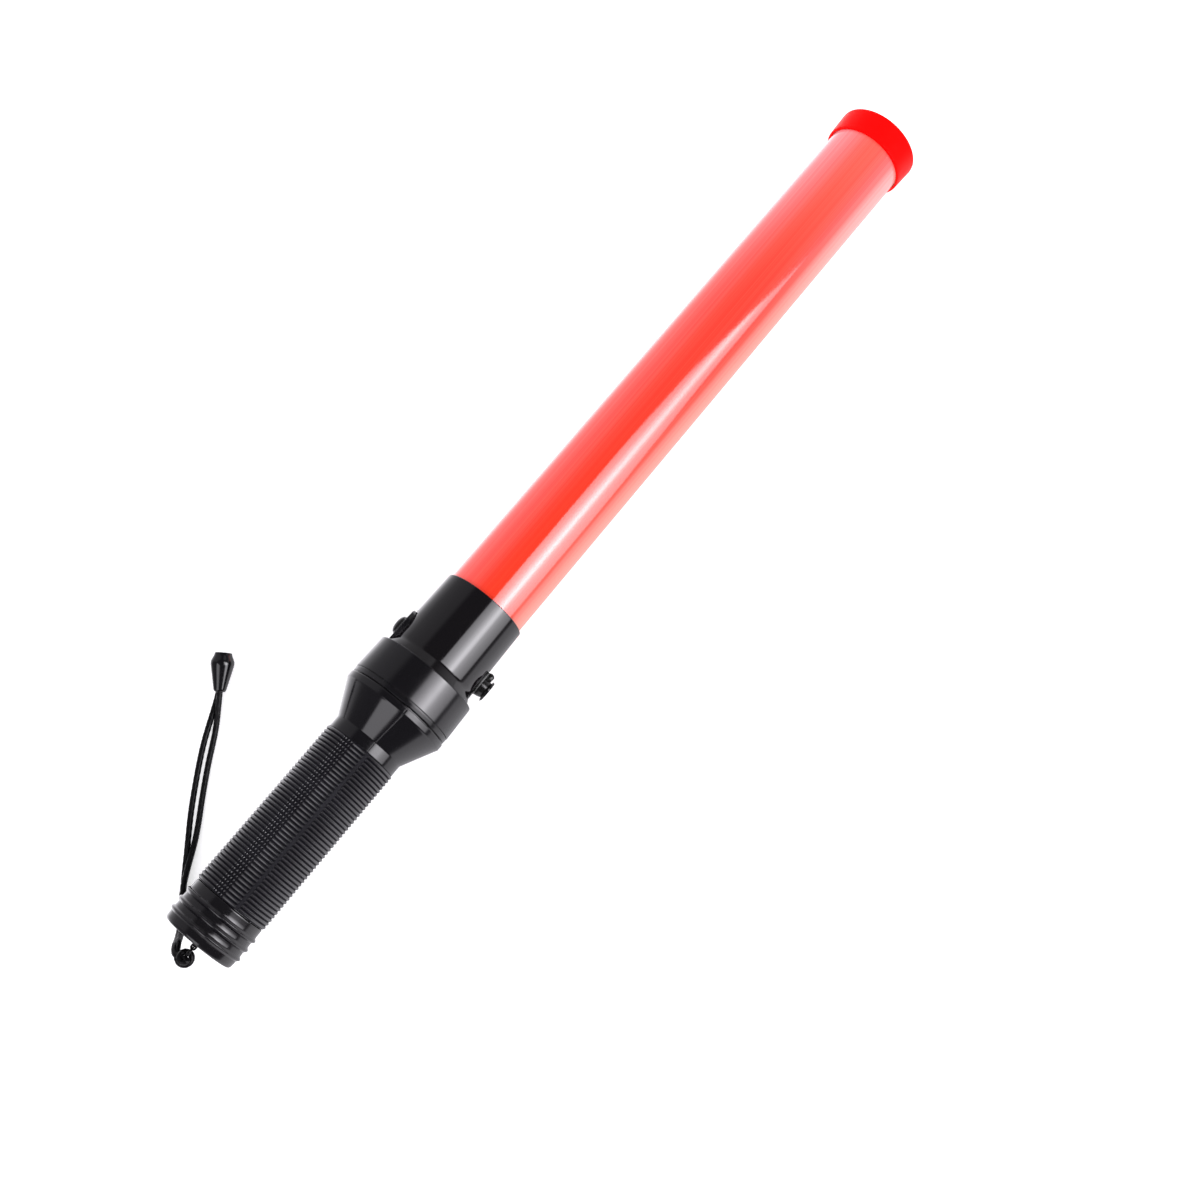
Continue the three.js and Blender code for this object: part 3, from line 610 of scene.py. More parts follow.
def prismatic_film():
    """Clear red film with fine prisms along it."""
    material, g = new_material("prismatic_film")
    around = angle_round(g)
    lines = g.node("ShaderNodeCombineXYZ", {0: g.math("MULTIPLY", around, 11.0)}).outputs[0]
    prisms = g.node("ShaderNodeTexWave", {"Vector": lines, "Scale": 1.0}).outputs["Fac"]
    color = g.mix(prisms, (0.95, 0.16, 0.11), (1.0, 0.34, 0.26))
    g.surface(base_color=color, roughness=0.25, normal=g.bump(prisms, 0.1 * MM, 0.6))
    return material


def led_lens():
    material, g = new_material("led_lens")
    height = g.node("ShaderNodeLayerWeight", {"Blend": 0.4}).outputs["Facing"]
    # deep red face-on, paler toward the edges as seen: painted sheen
    color = g.ramp(height, [(0.0, (0.75, 0.02, 0.012)), (0.6, (0.95, 0.10, 0.06)), (1.0, (1.0, 0.4, 0.3))])
    g.surface(base_color=color, roughness=0.06, normal=g.bump(g.noise(1500, 2), 0.01 * MM, 0.3))
    return material


FINISHES = {
    "ribbed_plastic": grip_plastic(),
    "black_plastic": gloss_plastic("black_plastic", (0.0050, 0.0042, 0.0052), 0.09),
    "red_tube": tube_plastic(),
    "prismatic_film": prismatic_film(),
    "red_cap": cap_plastic(),
    "rubber": rubber(),
    "cord": cord_fibre(),
    "white_plastic": moulded("white_plastic", (0.78, 0.77, 0.72), 0.4),
    "steel": metal("steel", (0.56, 0.57, 0.58), 0.28),
    "brass": metal("brass", (0.78, 0.55, 0.22), 0.3),
    "cell_wrap": cell_wrap(),
    "foam": foam(),
    "circuit_board": printed_board(),
    "electronics": moulded("electronics", (0.012, 0.012, 0.013), 0.45),
    "led_lens": led_lens(),
    "red_wire": moulded("red_wire", (0.45, 0.01, 0.01), 0.35),
    "black_wire": moulded("black_wire", (0.008, 0.008, 0.009), 0.35),
}

# The head, the tail cap and the collar are each polished a little differently
HEAD_POLISH = gloss_plastic("head_polish", (0.0048, 0.0044, 0.0058), 0.13)
TAIL_POLISH = gloss_plastic("tail_polish", (0.0060, 0.0055, 0.0068), 0.13)
COLLAR_POLISH = gloss_plastic("collar_polish", (0.0048, 0.0044, 0.0058), 0.16, sag=0.07)


def put(obj, slot, body, *nodes, material=None):
    """Gives a new piece its finish and its body, and lets it stand for CAD nodes."""
    obj.data.materials.clear()
    obj.data.materials.append(material or FINISHES[slot])
    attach(obj, body)
    if nodes:
        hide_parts(*nodes)


# ---- Tail cap ----

TAIL_RING_STATIONS = (5.8, 10.9, 16.0)
TAIL_RING_HEIGHT = TAIL_CAP_HIGH.z - GRIP_RADIUS
TAIL_RING_HALF_WIDTH = 1.35
TAIL_FOOT = 0.13
TAIL_FOOT_LENGTH = 1.8
THREAD_PITCH = 4.0
THREAD_START = 25.8


def tail_ring(station):
    """One raised ring: a smooth swell that runs out in a shallow hollow foot on the grip's side."""
    across = np.linspace(-1, 1, 13)
    foot = np.where(across > 0, TAIL_FOOT, 0.0)
    swell = foot + (TAIL_RING_HEIGHT - foot) * np.abs(np.cos(across * math.pi / 2)) ** 1.3
    points = [(station + TAIL_RING_HALF_WIDTH * u, GRIP_RADIUS + h, 0) for u, h in zip(across, swell)]
    for share in (0.2, 0.4, 0.6, 0.8, 1.0):
        along = station + TAIL_RING_HALF_WIDTH + share * TAIL_FOOT_LENGTH
        points.append((along, GRIP_RADIUS + TAIL_FOOT * (1 - share) ** 2, 0))
    return points


def tail_thread(along, radius, angle):
    """A helical thread on the spigot, which is the outer wall beyond the seal."""
    wave = 0.5 + 0.5 * np.sin(2 * math.pi * (along / THREAD_PITCH - angle / 360.0))
    crest = np.clip(wave * 2.2 - 0.6, 0, 1)
    on_spigot = (radius > 16.5) & (radius < 17.3) & (along > THREAD_START) & (along < SPIGOT_END - 0.6)
    return radius - np.where(on_spigot, 0.75 * (1 - crest), 0)


def build_tail():
    end = RIBS_START - 0.3
    points = [(0, 4.7, 0.2), (0, GRIP_RADIUS - 0.25, 2.4)]
    points += [(3.9, GRIP_RADIUS, 0.2)]
    for station in TAIL_RING_STATIONS:
        points += tail_ring(station)
    points += [(end, GRIP_RADIUS, 0.8), (end, 17.2, 0.1), (23.2, 17.2, 0.1)]
    points += [(23.2, 15.8, 0.1), (25.2, 15.8, 0.1), (25.2, 17.2, 0.1)]
    points += [(station, 17.2, 0) for station in np.arange(THREAD_START, SPIGOT_END - 0.4, 0.25)]
    points += [(SPIGOT_END, 17.2, 0.3), (SPIGOT_END, 14.6, 0.2), (3.5, 14.6, 0.4), (3.5, 4.7, 0.2)]
    cap = turned("tail_cap_shell", rounded(points), even_angles(160), tail_thread)
    put(cap, "black_plastic", "screw_cap", "tail_cap", material=TAIL_POLISH)

    seal_radius, seal_thickness = 16.65, 0.55
    circle = np.linspace(0, 2 * math.pi, 16, endpoint=False)
    middle = (SEAL_LOW.x + SEAL_HIGH.x) / 2
    along, outwards = middle + seal_thickness * np.cos(circle), seal_radius + seal_thickness * np.sin(circle)
    section = np.column_stack([along, outwards])
    put(turned("tail_seal_ring", section, even_angles(128)), "rubber", "screw_cap", "tail_seal")


# ---- Strap anchor ----

EYE_HALF_WIDTH = 1.3
EYE_HALF_OPENING = 0.5
EYE_REACH = 3.6
EYE_BAR = 0.7
EYE_HOLE_START = -2.05


def build_anchor():
    plug_points = [(0, 0, 0), (0, 4.2, 0.3), (3.8, 4.2, 0), (3.8, 6.6, 0.2), (5.3, 6.6, 0.2), (5.3, 0, 0)]
    plug = turned("strap_anchor", rounded(plug_points), even_angles(64))
    turn = np.linspace(-math.pi / 2, -3 * math.pi / 2, 17)

    def arch(half_width, reach, root):
        crown = half_width - reach
        curve = [(crown + half_width * math.cos(t), half_width * math.sin(t)) for t in turn]
        return [(root, -half_width)] + curve + [(root, half_width)]

    eye = extruded("eye", arch(EYE_HALF_WIDTH, EYE_REACH, 0.8), -0.75, 0.75, bevel=0.25)
    hole = extruded("hole", arch(EYE_HALF_OPENING, EYE_REACH - EYE_BAR, EYE_HOLE_START), -2.0, 2.0)
    eye = combine(eye, hole, "DIFFERENCE")
    put(combine(plug, eye, "UNION"), "black_plastic", "strap_mount", "tail_swivel")


# ---- Grip and head ----

STRIP = (7.7, 13.2)
STUD_ROWS = (-17.5, -22.6, -27.7)
STUD_BAND = (-30.4, -14.8)
PARTING_ANGLE = 8.0
FINE_ANGLES = list(np.arange(-33.0, -12.5, 0.8)) + list(np.arange(6.2, 15.0, 0.3))


def window(value, low, high, soft):
    """1 between low and high, falling to 0 over soft on either side."""
    rise = np.clip((value - low) / soft + 0.5, 0, 1)
    fall = np.clip((high - value) / soft + 0.5, 0, 1)
    return np.minimum(rise, fall)


def grip_relief(along, radius, angle):
    """Ribs broken by the smooth strip and cut into studs, and the parting line past them."""
    ribbed = (along > RIBS_START) & (along < RIBS_END) & (radius > GRIP_BORE + 1.2)
    strip = window(angle, *STRIP, 0.9)
    band = window(angle, *STUD_BAND, 1.5)
    spacing = STUD_ROWS[0] - STUD_ROWS[1]
    stud = 0.5 + 0.5 * np.cos(2 * math.pi * (angle - STUD_ROWS[0]) / spacing)
    height = (1 - strip) * (1 - band * (1 - 1.15 * stud))
    filled = strip * 0.35 * (RIB_TOP - RIB_ROOT)
    ribs = RIB_ROOT + (radius - RIB_ROOT) * height + filled
    relieved = np.where(ribbed, ribs, radius)
    plain = (along >= RIBS_END) & (along < CONE_END + 3) & (radius > GRIP_RADIUS - 0.2)
    seam = window(angle, PARTING_ANGLE - 0.45, PARTING_ANGLE + 0.45, 0.4)
    return relieved - np.where(plain, 0.28 * seam, 0)


def rib_points():
    pitch = (RIBS_END - RIBS_START) / RIB_COUNT
    steps = np.arange(6) / 6
    swell = (0.5 - 0.5 * np.cos(2 * math.pi * steps)) ** 0.75
    points = []
    for i in range(RIB_COUNT):
        for step, height in zip(steps, swell):
            along = RIBS_START + 0.12 + (i + step) * pitch
            points.append((along, RIB_ROOT + (RIB_TOP - RIB_ROOT) * height, 0))
    return points


def build_grip():
    points = [(RIBS_START, THREAD_BORE, 0), (RIBS_START, RIB_ROOT - 0.1, 0)] + rib_points()
    points += [
        (RIBS_END + 0.1, RIB_ROOT, 0.1),
        (RIBS_END + 0.3, GRIP_RADIUS, 0.1),
        (CONE_START, GRIP_RADIUS, 0.25),
        (CONE_END, 27.35, 0.3),
        (CONE_END + 0.55, HEAD_RADIUS - 0.2, 0.3),
        (138.1, HEAD_RADIUS - 0.1, 0.2),
        (HEAD_END, HEAD_RADIUS - 0.3, 0.1),
        (HEAD_END, THREAD_RADIUS, 0),
        (SHELL_END, THREAD_RADIUS, 0.3),
        (SHELL_END, 23.3, 0),
        (142.7, 23.3, 0),
        (142.7, 22.5, 0),
        (131.0, 22.5, 1.0),
        (CONE_START + 1, GRIP_BORE - 0.3, 1.0),
        (117.7, 14.0, 0),
        (115.7, 14.0, 0),
        (115.7, GRIP_BORE, 0),
        (36.0, GRIP_BORE, 0),
        (36.0, THREAD_BORE, 0),
    ]
    angles = even_angles(150, FINE_ANGLES)
    grip = turned("grip_shell", rounded(points, 4), angles, grip_relief)
    put(grip, "ribbed_plastic", "handle", "handle_shell")
    grip.data.materials.append(HEAD_POLISH)
    smooth_from = (RIBS_END + 0.15) * MM
    for face in grip.data.polygons:
        if face.center.x > smooth_from:
            face.material_index = 1


# ---- Collar and neck ----


def build_collar():
    points = [
        (COLLAR_START, COLLAR_BORE, 0),
        (COLLAR_START, COLLAR_RADIUS - 0.35, 0.2),
        (COLLAR_GROOVE[0], COLLAR_RADIUS - 0.2, 0.1),
        (COLLAR_GROOVE[1], COLLAR_RADIUS - COLLAR_GROOVE_DEPTH, 0),
        (COLLAR_GROOVE[2], COLLAR_RADIUS - COLLAR_GROOVE_DEPTH, 0),
        (COLLAR_GROOVE[3], COLLAR_RADIUS, 0.15),
        (COLLAR_END, COLLAR_END_RADIUS, 1.0),
        (COLLAR_END, COLLAR_BORE, 0.1),
    ]
    collar = turned("screw_collar", rounded(points), even_angles(192))
    put(collar, "black_plastic", "handle", "head_collar", material=COLLAR_POLISH)


def flat_tool(side):
    """A cutter for one flat: a block with rounded far corners, outside the flat's plane."""
    corner = 3.0
    quarter = np.linspace(0, math.pi / 2, 7)
    far, near = FLAT_END - corner, corner - FLAT_HALF_WIDTH
    right = [(far + corner * math.sin(t), near - corner * math.cos(t)) for t in quarter]
    left = [(x, -z) for x, z in reversed(right)]
    outline = [(FLAT_START, -FLAT_HALF_WIDTH)] + right + left + [(FLAT_START, FLAT_HALF_WIDTH)]
    turn = Matrix(((1, 0, 0), (0, 0, side), (0, -side, 0)))
    return extruded("flat_tool", outline, FLAT_OFFSET, FLAT_OFFSET + 8, turn=turn)


def build_neck():
    points = [
        (NECK_START, THREAD_RADIUS, 0),
        (COLLAR_END + 0.2, THREAD_RADIUS, 0.1),
        (NECK_SHOULDER, NECK_RADIUS, 1.1),
        (NECK_END, NECK_END_RADIUS, 0.3),
        (NECK_END, TUBE_RADIUS + 0.3, 0.15),
        (TUBE_SEAT, TUBE_RADIUS + 0.3, 0),
        (TUBE_SEAT, NECK_BORE, 0),
        (NECK_START, NECK_BORE, 0),
    ]
    neck = turned("neck_shell", rounded(points, 7, 0.4), even_angles(192))
    for side in (1, -1):
        combine(neck, flat_tool(side), "DIFFERENCE")
    for radius, station, turn in ((2.9, BUTTON_STATION, TO_PLUS_Y), (4.3, JACK_STATION, TO_MINUS_Y)):
        hole = [(8, 0, 0), (8, radius, 0), (32, radius, 0), (32, 0, 0)]
        combine(neck, boss("hole", hole, 32, turn, station), "DIFFERENCE")
    put(neck, "black_plastic", "handle", "neck_sleeve")


# ---- Tube and tip ----


def build_tube():
    low, high = TUBE_LOW.x, TUBE_HIGH.x
    inner = TUBE_RADIUS - TUBE_WALL
    stations = np.linspace(low + 4, high - 4, 24)
    points = [(low, inner, 0), (low, TUBE_RADIUS, 0.2)]
    points += [(station, TUBE_RADIUS, 0) for station in stations]
    points += [(high, TUBE_RADIUS, 0.2), (high, inner, 0)]
    tube = turned("tube_shell", rounded(points), even_angles(192))
    put(tube, "red_tube", "handle", "red_tube")


def build_tip():
    start, end = TIP_LOW.x, TIP_HIGH.x
    floor = end - 2.5
    bore = TUBE_RADIUS + 0.3
    points = [
        (floor, 0, 0),
        (floor, bore, 0.3),
        (start, bore, 0.1),
        (start, 22.6, 0.25),
        (start + 0.9, 22.75, 0.3),
        (end - 1.0, TIP_RADIUS, 0.2),
        (end - 0.75, TIP_RADIUS - 0.28, 0),
        (end - 0.55, TIP_RADIUS - 0.28, 0),
        (end - 0.45, TIP_RADIUS - 0.1, 0.1),
        (end, TIP_RADIUS - 0.5, 0.35),
        (end, 17.6, 0.4),
        (end - 0.6, 16.9, 0.4),
        (end - 0.6, 1.9, 0.2),
        (end - 0.35, 1.6, 0.1),
        (end - 0.35, 0, 0),
    ]
    cap = turned("tip_cap_shell", rounded(points), even_angles(192))
    put(cap, "red_cap", "handle", "tip_cap")


# ---- Button ----

SURROUND_HALF_WIDTH = 8.3


def build_switch():
    low, high = BEZEL_LOW, BEZEL_HIGH
    low.x = COLLAR_END + 0.05
    half = SURROUND_HALF_WIDTH
    shoulder = high.x - 9.5
    curve = np.linspace(0, math.pi / 2, 15)
    side = [(shoulder + (high.x - shoulder) * math.sin(t), half * math.cos(t) ** 0.85) for t in curve]
    outline = [(low.x, -half), (shoulder - 3, -half)] + [(x, -z) for x, z in side]
    outline += [(x, z) for x, z in reversed(side[:-1])] + [(shoulder - 3, half), (low.x, half)]
    to_side = Matrix(((1, 0, 0), (0, 0, 1), (0, -1, 0)))
    base = extruded("button_surround", outline, low.y - 0.2, high.y, bevel=0.6, turn=to_side)
    well_radius = BUTTON_RADIUS + 0.35
    well = [(15, 0, 0), (15, well_radius, 0), (30, well_radius, 0), (30, 0, 0)]
    combine(base, boss("well", well, 64, TO_PLUS_Y, BUTTON_STATION), "DIFFERENCE")
    put(base, "black_plastic", "handle", "switch_bezel", material=HEAD_POLISH)

    top = BUTTON_HIGH.y
    dome = [
        (18, 0, 0),
        (18, 2.2, 0.2),
        (24.4, 2.2, 0),
        (24.4, 4.4, 0),
        (22.5, 4.4, 0),
        (22.5, BUTTON_RADIUS, 0.1),
        (24.5, BUTTON_RADIUS, 0.3),
        (24.75, 4.85, 0.2),
        (25.6, 4.55, 0.8),
        (top - 0.35, 3.1, 1.6),
        (top, 1.0, 1.0),
        (top, 0, 0),
    ]
    button = boss("push_button", dome, 64, TO_PLUS_Y, BUTTON_STATION)
    put(button, "rubber", "button", "switch_button")


# ---- Charging socket and its cover ----


def build_socket():
    flange = -JACK_LOW.y
    points = [
        (10, 0, 0),
        (10, 3.9, 0.2),
        (flange - 0.8, 3.9, 0),
        (flange - 0.8, 5.3, 0.15),
        (flange, 5.3, 0.25),
        (flange, 2.9, 0.2),
        (12, 2.9, 0),
        (12, 0, 0),
    ]
    jack = boss("charging_socket", points, 64, TO_MINUS_Y, JACK_STATION)
    put(jack, "electronics", "handle", "dc_jack")
    pin = [(12.3, 0, 0), (12.3, 1.0, 0), (18.8, 1.0, 0.5), (18.8, 0, 0)]
    put(boss("socket_pin", pin, 32, TO_MINUS_Y, JACK_STATION), "brass", "handle", "jack_pin")


def build_cover():
    """The rubber cover: tether, pad against the neck, swollen plug head, outer rim and pull tab.

    All but the thin tether starts far enough from the hinge to swing clear of the collar.
    """
    hinge = COVER_LOW.x
    near = COVER_HIGH.y
    neck_side = -20.5
    outer = COVER_LOW.y
    cover = rounded_box("socket_cover", (hinge, -23.1, -3.4), (hinge + 5.2, -21.8, 3.4), 0.35)
    pad = rounded_box("pad", (hinge + 4.9, -23.4, -7.0), (COVER_HIGH.x - 1.0, neck_side, 7.0), 0.7)
    combine(cover, pad, "UNION")
    centre = hinge + 10.1
    oval = TO_MINUS_Y @ Matrix.Diagonal((1, 1, 1.22))
    head = [
        (21.9, 0, 0),
        (21.9, 5.2, 0.4),
        (24.6, 5.0, 1.2),
        (26.6, 4.4, 0.8),
        (27.1, 4.1, 0.3),
        (27.3, 5.3, 0.2),
        (-outer, 5.1, 0.25),
        (-outer, 0, 0),
    ]
    combine(cover, boss("head", head, 48, oval, centre), "UNION")
    lip = rounded_box("lip", (centre - 5.5, -28.2, -2.2), (centre - 3.5, -27.6, 2.2), 0.25)
    combine(cover, lip, "UNION")
    tab_outline = [
        (centre + 2.4, -25.2),
        (centre + 4.4, -26.3),
        (COVER_HIGH.x - 1.2, -26.5),
        (COVER_HIGH.x - 0.2, -25.6),
        (COVER_HIGH.x, -24.2),
        (COVER_HIGH.x - 0.6, -22.9),
        (COVER_HIGH.x - 2.4, -22.2),
        (centre + 2.4, -22.2),
    ]
    tab = extruded("tab", tab_outline, -5.0, 5.0, bevel=1.5)
    combine(cover, tab, "UNION")
    stub = [(-near, 0, 0), (-near, 2.2, 0.4), (22.4, 2.2, 0), (22.4, 0, 0)]
    combine(cover, boss("stub", stub, 32, TO_MINUS_Y, JACK_STATION), "UNION")
    put(cover, "rubber", "charge_cover", "port_cover")


# ---- Wrist cord ----

KNOT_CENTRE = np.array((-8.3, -0.1, 0.0))
SCREEN_RIGHT = np.array((0.63, -0.777, 0.0))
SCREEN_UP = np.array((0.777, 0.63, 0.0))
SLIDER_MOUTH = np.array((92.7, 69.7, -24.0))
SLIDER_END = np.array((108.1, 80.7, -22.7))
SLIDER_LENGTH = float(np.linalg.norm(SLIDER_END - SLIDER_MOUTH))
SLIDER_AIM = (SLIDER_END - SLIDER_MOUTH) / SLIDER_LENGTH
SLIDER_RADIUS = 5.65
CORD_COURSE = [
    (-7.9, 6.2, -6.6),
    (-5.9, 7.2, -12.8),
    (-4.2, 8.2, -17.2),
    (-1.4, 10.0, -21.2),
    (2.8, 13.2, -23.8),
    (7.4, 17.2, -24.6),
    (14.5, 22.6, -25.0),
    (32.0, 33.4, -25.8),
    (48.0, 44.0, CORD_HEIGHT),
    (64.0, 53.8, CORD_HEIGHT),
    (80.5, 62.8, CORD_HEIGHT),
    (90.0, 68.3, CORD_HEIGHT + 1.4),
]
OPENING = ((14.0, 30.0), (95.0, 26.0))
OPEN_GAP = 2.08


def smooth_path(points, spacing):
    """Evenly spaced points along a centripetal Catmull-Rom curve through the given ones."""
    points = np.asarray(points, float)
    ends = np.vstack([2 * points[0] - points[1], points, 2 * points[-1] - points[-2]])
    fine = []
    for i in range(1, len(ends) - 2):
        p = ends[i - 1 : i + 3]
        knots = np.concatenate([[0], np.cumsum(np.linalg.norm(np.diff(p, axis=0), axis=1) ** 0.5)])
        for t in np.linspace(knots[1], knots[2], 24, endpoint=False):
            level = list(p)
            for span in (1, 2):
                widths = [knots[k + span] - knots[k] for k in range(len(level) - 1)]
                level = [
                    ((knots[k + span] - t) * level[k] + (t - knots[k]) * level[k + 1]) / width
                    for k, width in enumerate(widths)
                ]
            fine.append(((knots[2] - t) * level[0] + (t - knots[1]) * level[1]) / (knots[2] - knots[1]))
    fine = np.array(fine + [points[-1]])
    along = np.concatenate([[0], np.cumsum(np.linalg.norm(np.diff(fine, axis=0), axis=1))])
    wanted = np.linspace(0, along[-1], max(2, int(round(along[-1] / spacing)) + 1))
    return np.column_stack([np.interp(wanted, along, fine[:, k]) for k in range(3)])


def strand_course(side):
    """One strand of the doubled cord: nearly stacked at both ends, side by side where it opens."""
    course = smooth_path(CORD_COURSE, 1.0)
    tangent, _, _ = frames_along(course)
    (start, rise), (end, fall) = OPENING
    parted = np.sin(math.pi / 2 * np.clip((course[:, :1] - start) / rise, 0, 1))
    parted = parted * np.sin(math.pi / 2 * np.clip((end - course[:, :1]) / fall, 0, 1))
    shut = np.interp(course[:, :1], (2.0, 14.0), (0.55, 0.15))
    sideways = shut + (OPEN_GAP - shut) * parted ** 1.3
    upwards = np.sqrt(np.maximum(0, (CORD_RADIUS + 0.02) ** 2 - sideways ** 2))
    across = np.cross(tangent, (0, 0, 1))
    across /= np.linalg.norm(across, axis=1)[:, None]
    return course + side * (across * sideways + np.array((0, 0, 1)) * upwards)


def knot_course():
    """The coil between the two strands: round the bottom, up the right side and in over itself."""
    turn = np.radians(np.linspace(170, 170 + 500, 26))
    share = np.linspace(0, 1, len(turn))
    spread = 3.4 - 1.8 * share ** 1.5
    rise = -2.4 + 3.6 * np.sin(np.clip(share - 0.48, 0, 1) * math.pi * 0.95)
    around = np.cos(turn)[:, None] * SCREEN_RIGHT + np.sin(turn)[:, None] * SCREEN_UP
    course = KNOT_CENTRE + spread[:, None] * around
    course[:, 2] = rise
    tuck = KNOT_CENTRE - SCREEN_RIGHT * 1.5 + np.array((0, 0, -1.8))
    out_again = KNOT_CENTRE - SCREEN_RIGHT * 4.4 + SCREEN_UP * 1.5 + np.array((0, 0, -3.6))
    return np.vstack([course, tuck, out_again])


def braid(distance, angle):
    """A round cord of interlaced strands."""
    pitch, strands = 3.4, 4
    left = np.sin(strands * angle + 2 * math.pi * distance / pitch)
    right = np.sin(strands * angle - 2 * math.pi * distance / pitch)
    return CORD_RADIUS - 0.09 + 0.09 * np.maximum(left, right)


def build_cord():
    out, back = strand_course(1), strand_course(-1)
    into_bell = SLIDER_MOUTH + SLIDER_AIM * 4.0
    apart = np.array((0, 0, 0.9))
    ends = [into_bell + apart, into_bell - apart]
    knot = knot_course()
    course = [ends[0]] + list(out[::-4][:-1]) + list(knot[1::2]) + list(back[1::4]) + [ends[1]]
    path = smooth_path(course, 0.45)
    cord = swept("wrist_cord", path, braid, sides=16)
    put(cord, "cord", "strap", "strap_cord", "strap_knot")

    near, far = LINK_HIGH.x - LINK_RADIUS, -6.9
    turn = np.linspace(0, 2 * math.pi, 60, endpoint=False)
    middle, reach = (near + far) / 2, (near - far) / 2
    oval = np.column_stack([middle + reach * np.cos(turn), 0 * turn, 1.7 * np.sin(turn)])
    def link_radius(distance, angle):
        fatter = LINK_SWELL * (0.5 - 0.5 * np.cos(2 * math.pi * distance / LINK_LENGTH))
        return LINK_RADIUS + fatter + 0.04 * np.sin(2 * angle + 2.2 * distance)

    link = swept("strap_link", oval, link_radius, 12, closed=True)
    put(link, "cord", "strap", "strap_loop")


def build_slider():
    points = [
        (0, 0, 0),
        (0, 2.3, 0.5),
        (0.8, 3.0, 0.7),
        (SLIDER_LENGTH * 0.70, SLIDER_RADIUS, 0.8),
        (SLIDER_LENGTH * 0.78, SLIDER_RADIUS, 0.7),
        (SLIDER_LENGTH * 0.93, 4.35, 0.4),
        (SLIDER_LENGTH, 4.1, 0.4),
        (SLIDER_LENGTH, 1.6, 0.2),
        (SLIDER_LENGTH - 0.5, 1.3, 0.2),
        (SLIDER_LENGTH - 0.5, 0, 0),
    ]
    turn = Vector((1, 0, 0)).rotation_difference(Vector(SLIDER_AIM)).to_matrix()
    bell = turned("cord_bell", rounded(points), even_angles(72), turn=turn, place=SLIDER_MOUTH)
    put(bell, "black_plastic", "strap", "cord_lock", material=HEAD_POLISH)


build_tail()
build_anchor()
build_grip()
build_collar()
build_neck()
build_tube()
build_tip()
build_switch()
build_socket()
build_cover()
build_cord()
build_slider()

# ---- Finishes of the CAD nodes that stay ----

SLOT_OF = {row["node"]: row["material_slot"] for row in frame["record"]["subparts"]}
for node, obj in frame["nodes"].items():
    if obj.hide_render:
        continue
    material = FINISHES[SLOT_OF[node]]
    if not obj.material_slots:
        obj.data.materials.append(material)
    for place in obj.material_slots:
        place.material = material


# ---- Studio ----

FLOOR_REACH = 6.0
FLOOR_GLOW = 0.56
STUDIO_TINT = (1.0, 0.982, 1.03)
CAMERA_PLACE = (0.0542, 0.0, 0.7148)
CAMERA_RIGHT = (0.61707, -0.76090, 0.20067)
CAMERA_UP = (0.74391, 0.64721, 0.16647)
CAMERA_LENS = 45.80


def lit_from(graph, direction):
    """Radiance seen by mirror-like rays: a long softbox beside the camera, a small one over the
    cone, and a pale table. It depends on a ray's X and on its angle round the baton."""
    x, y, z = graph.split(direction)
    around = graph.math("ARCTAN2", graph.math("MULTIPLY", y, -1.0), z)
    around = graph.math("MULTIPLY", around, 180 / math.pi)
    table = graph.curve(
        around,
        -180,
        180,
        [(-180, 1.4), (-152, 2.0), (-140, 1.5), (-128, 1.0), (-100, 0.5), (-52, 0.38), (-42, 0.09),
         (78, 0.1), (86, 0.35), (91, 1.3), (115, 1.25), (135, 1.0), (155, 0.7), (180, 0.8)],
        2.0,
    )
    profile = graph.curve(
        around,
        0,
        90,
        [(0, 3.2), (10, 4.0), (22, 6.4), (31, 10.5), (38, 15.0), (43, 14.0), (49, 7.5), (60, 5.0),
         (76, 3.0), (79.5, 0.0), (90, 0.0)],
        15.0,
    )
    length = graph.curve(
        x,
        -0.2,
        0.6,
        [(-0.2, 0), (-0.11, 0), (-0.075, 0.0), (-0.05, 0.06), (-0.025, 0.22), (0, 0.5), (0.087, 0.9),
         (0.14, 1.0),
         (0.27, 1.0), (0.33, 0.85), (0.4, 0.67), (0.6, 0.55)],
    )
    even_part = graph.smooth(x, 0.14, 0.175, 8.8, 15.5)
    near_edge = graph.curve(
        x, -1, 1, [(-0.3, 14), (0.09, 20), (0.16, 8.5), (0.34, 6), (0.40, 14), (0.50, 64), (0.56, 90)], 90
    )
    far_edge = graph.curve(x, 0, 0.6, [(0, 85), (0.26, 85), (0.33, 74), (0.41, 63), (0.6, 60)], 90)
    past_edge = graph.smooth(graph.math("SUBTRACT", around, near_edge), -1.2, 1.8)
    before_far = graph.smooth(graph.math("SUBTRACT", far_edge, around), -2.0, 2.0)
    softbox = graph.math("MULTIPLY", graph.math("MINIMUM", profile, even_part), length)
    softbox = graph.math("MULTIPLY", softbox, graph.math("MULTIPLY", past_edge, before_far))
    # Dark stands behind the tail; beyond the tip a pale wall fills most of the view
    behind = graph.math("MULTIPLY", graph.smooth(x, -0.4, -0.55), graph.smooth(around, 2, -8))
    table = graph.math("MULTIPLY", table, graph.math("SUBTRACT", 1.0, graph.math("MULTIPLY", behind, 0.65)))
    wall = graph.curve(
        around, -180, 180, [(-180, 0), (-95, 0.2), (-85, 0.40), (-30, 0.45), (-8, 0.6), (0, 0.12), (14, 0.16),
                            (30, 0.36),
                            (50, 0.62), (70, 0.8), (85, 0.9), (95, 0), (180, 0)]
    )
    wall = graph.math("MULTIPLY", wall, graph.smooth(x, 0.62, 0.7))
    table = graph.math("MAXIMUM", table, wall)
    over_cone = graph.math("MULTIPLY", graph.smooth(around, -44, -40), graph.smooth(around, 9, 5))
    over_cone = graph.math("MULTIPLY", over_cone, graph.smooth(x, -0.52, -0.6))
    over_cone = graph.math("MULTIPLY", over_cone, 2.7)
    return graph.math("ADD", graph.math("ADD", table, softbox), over_cone)


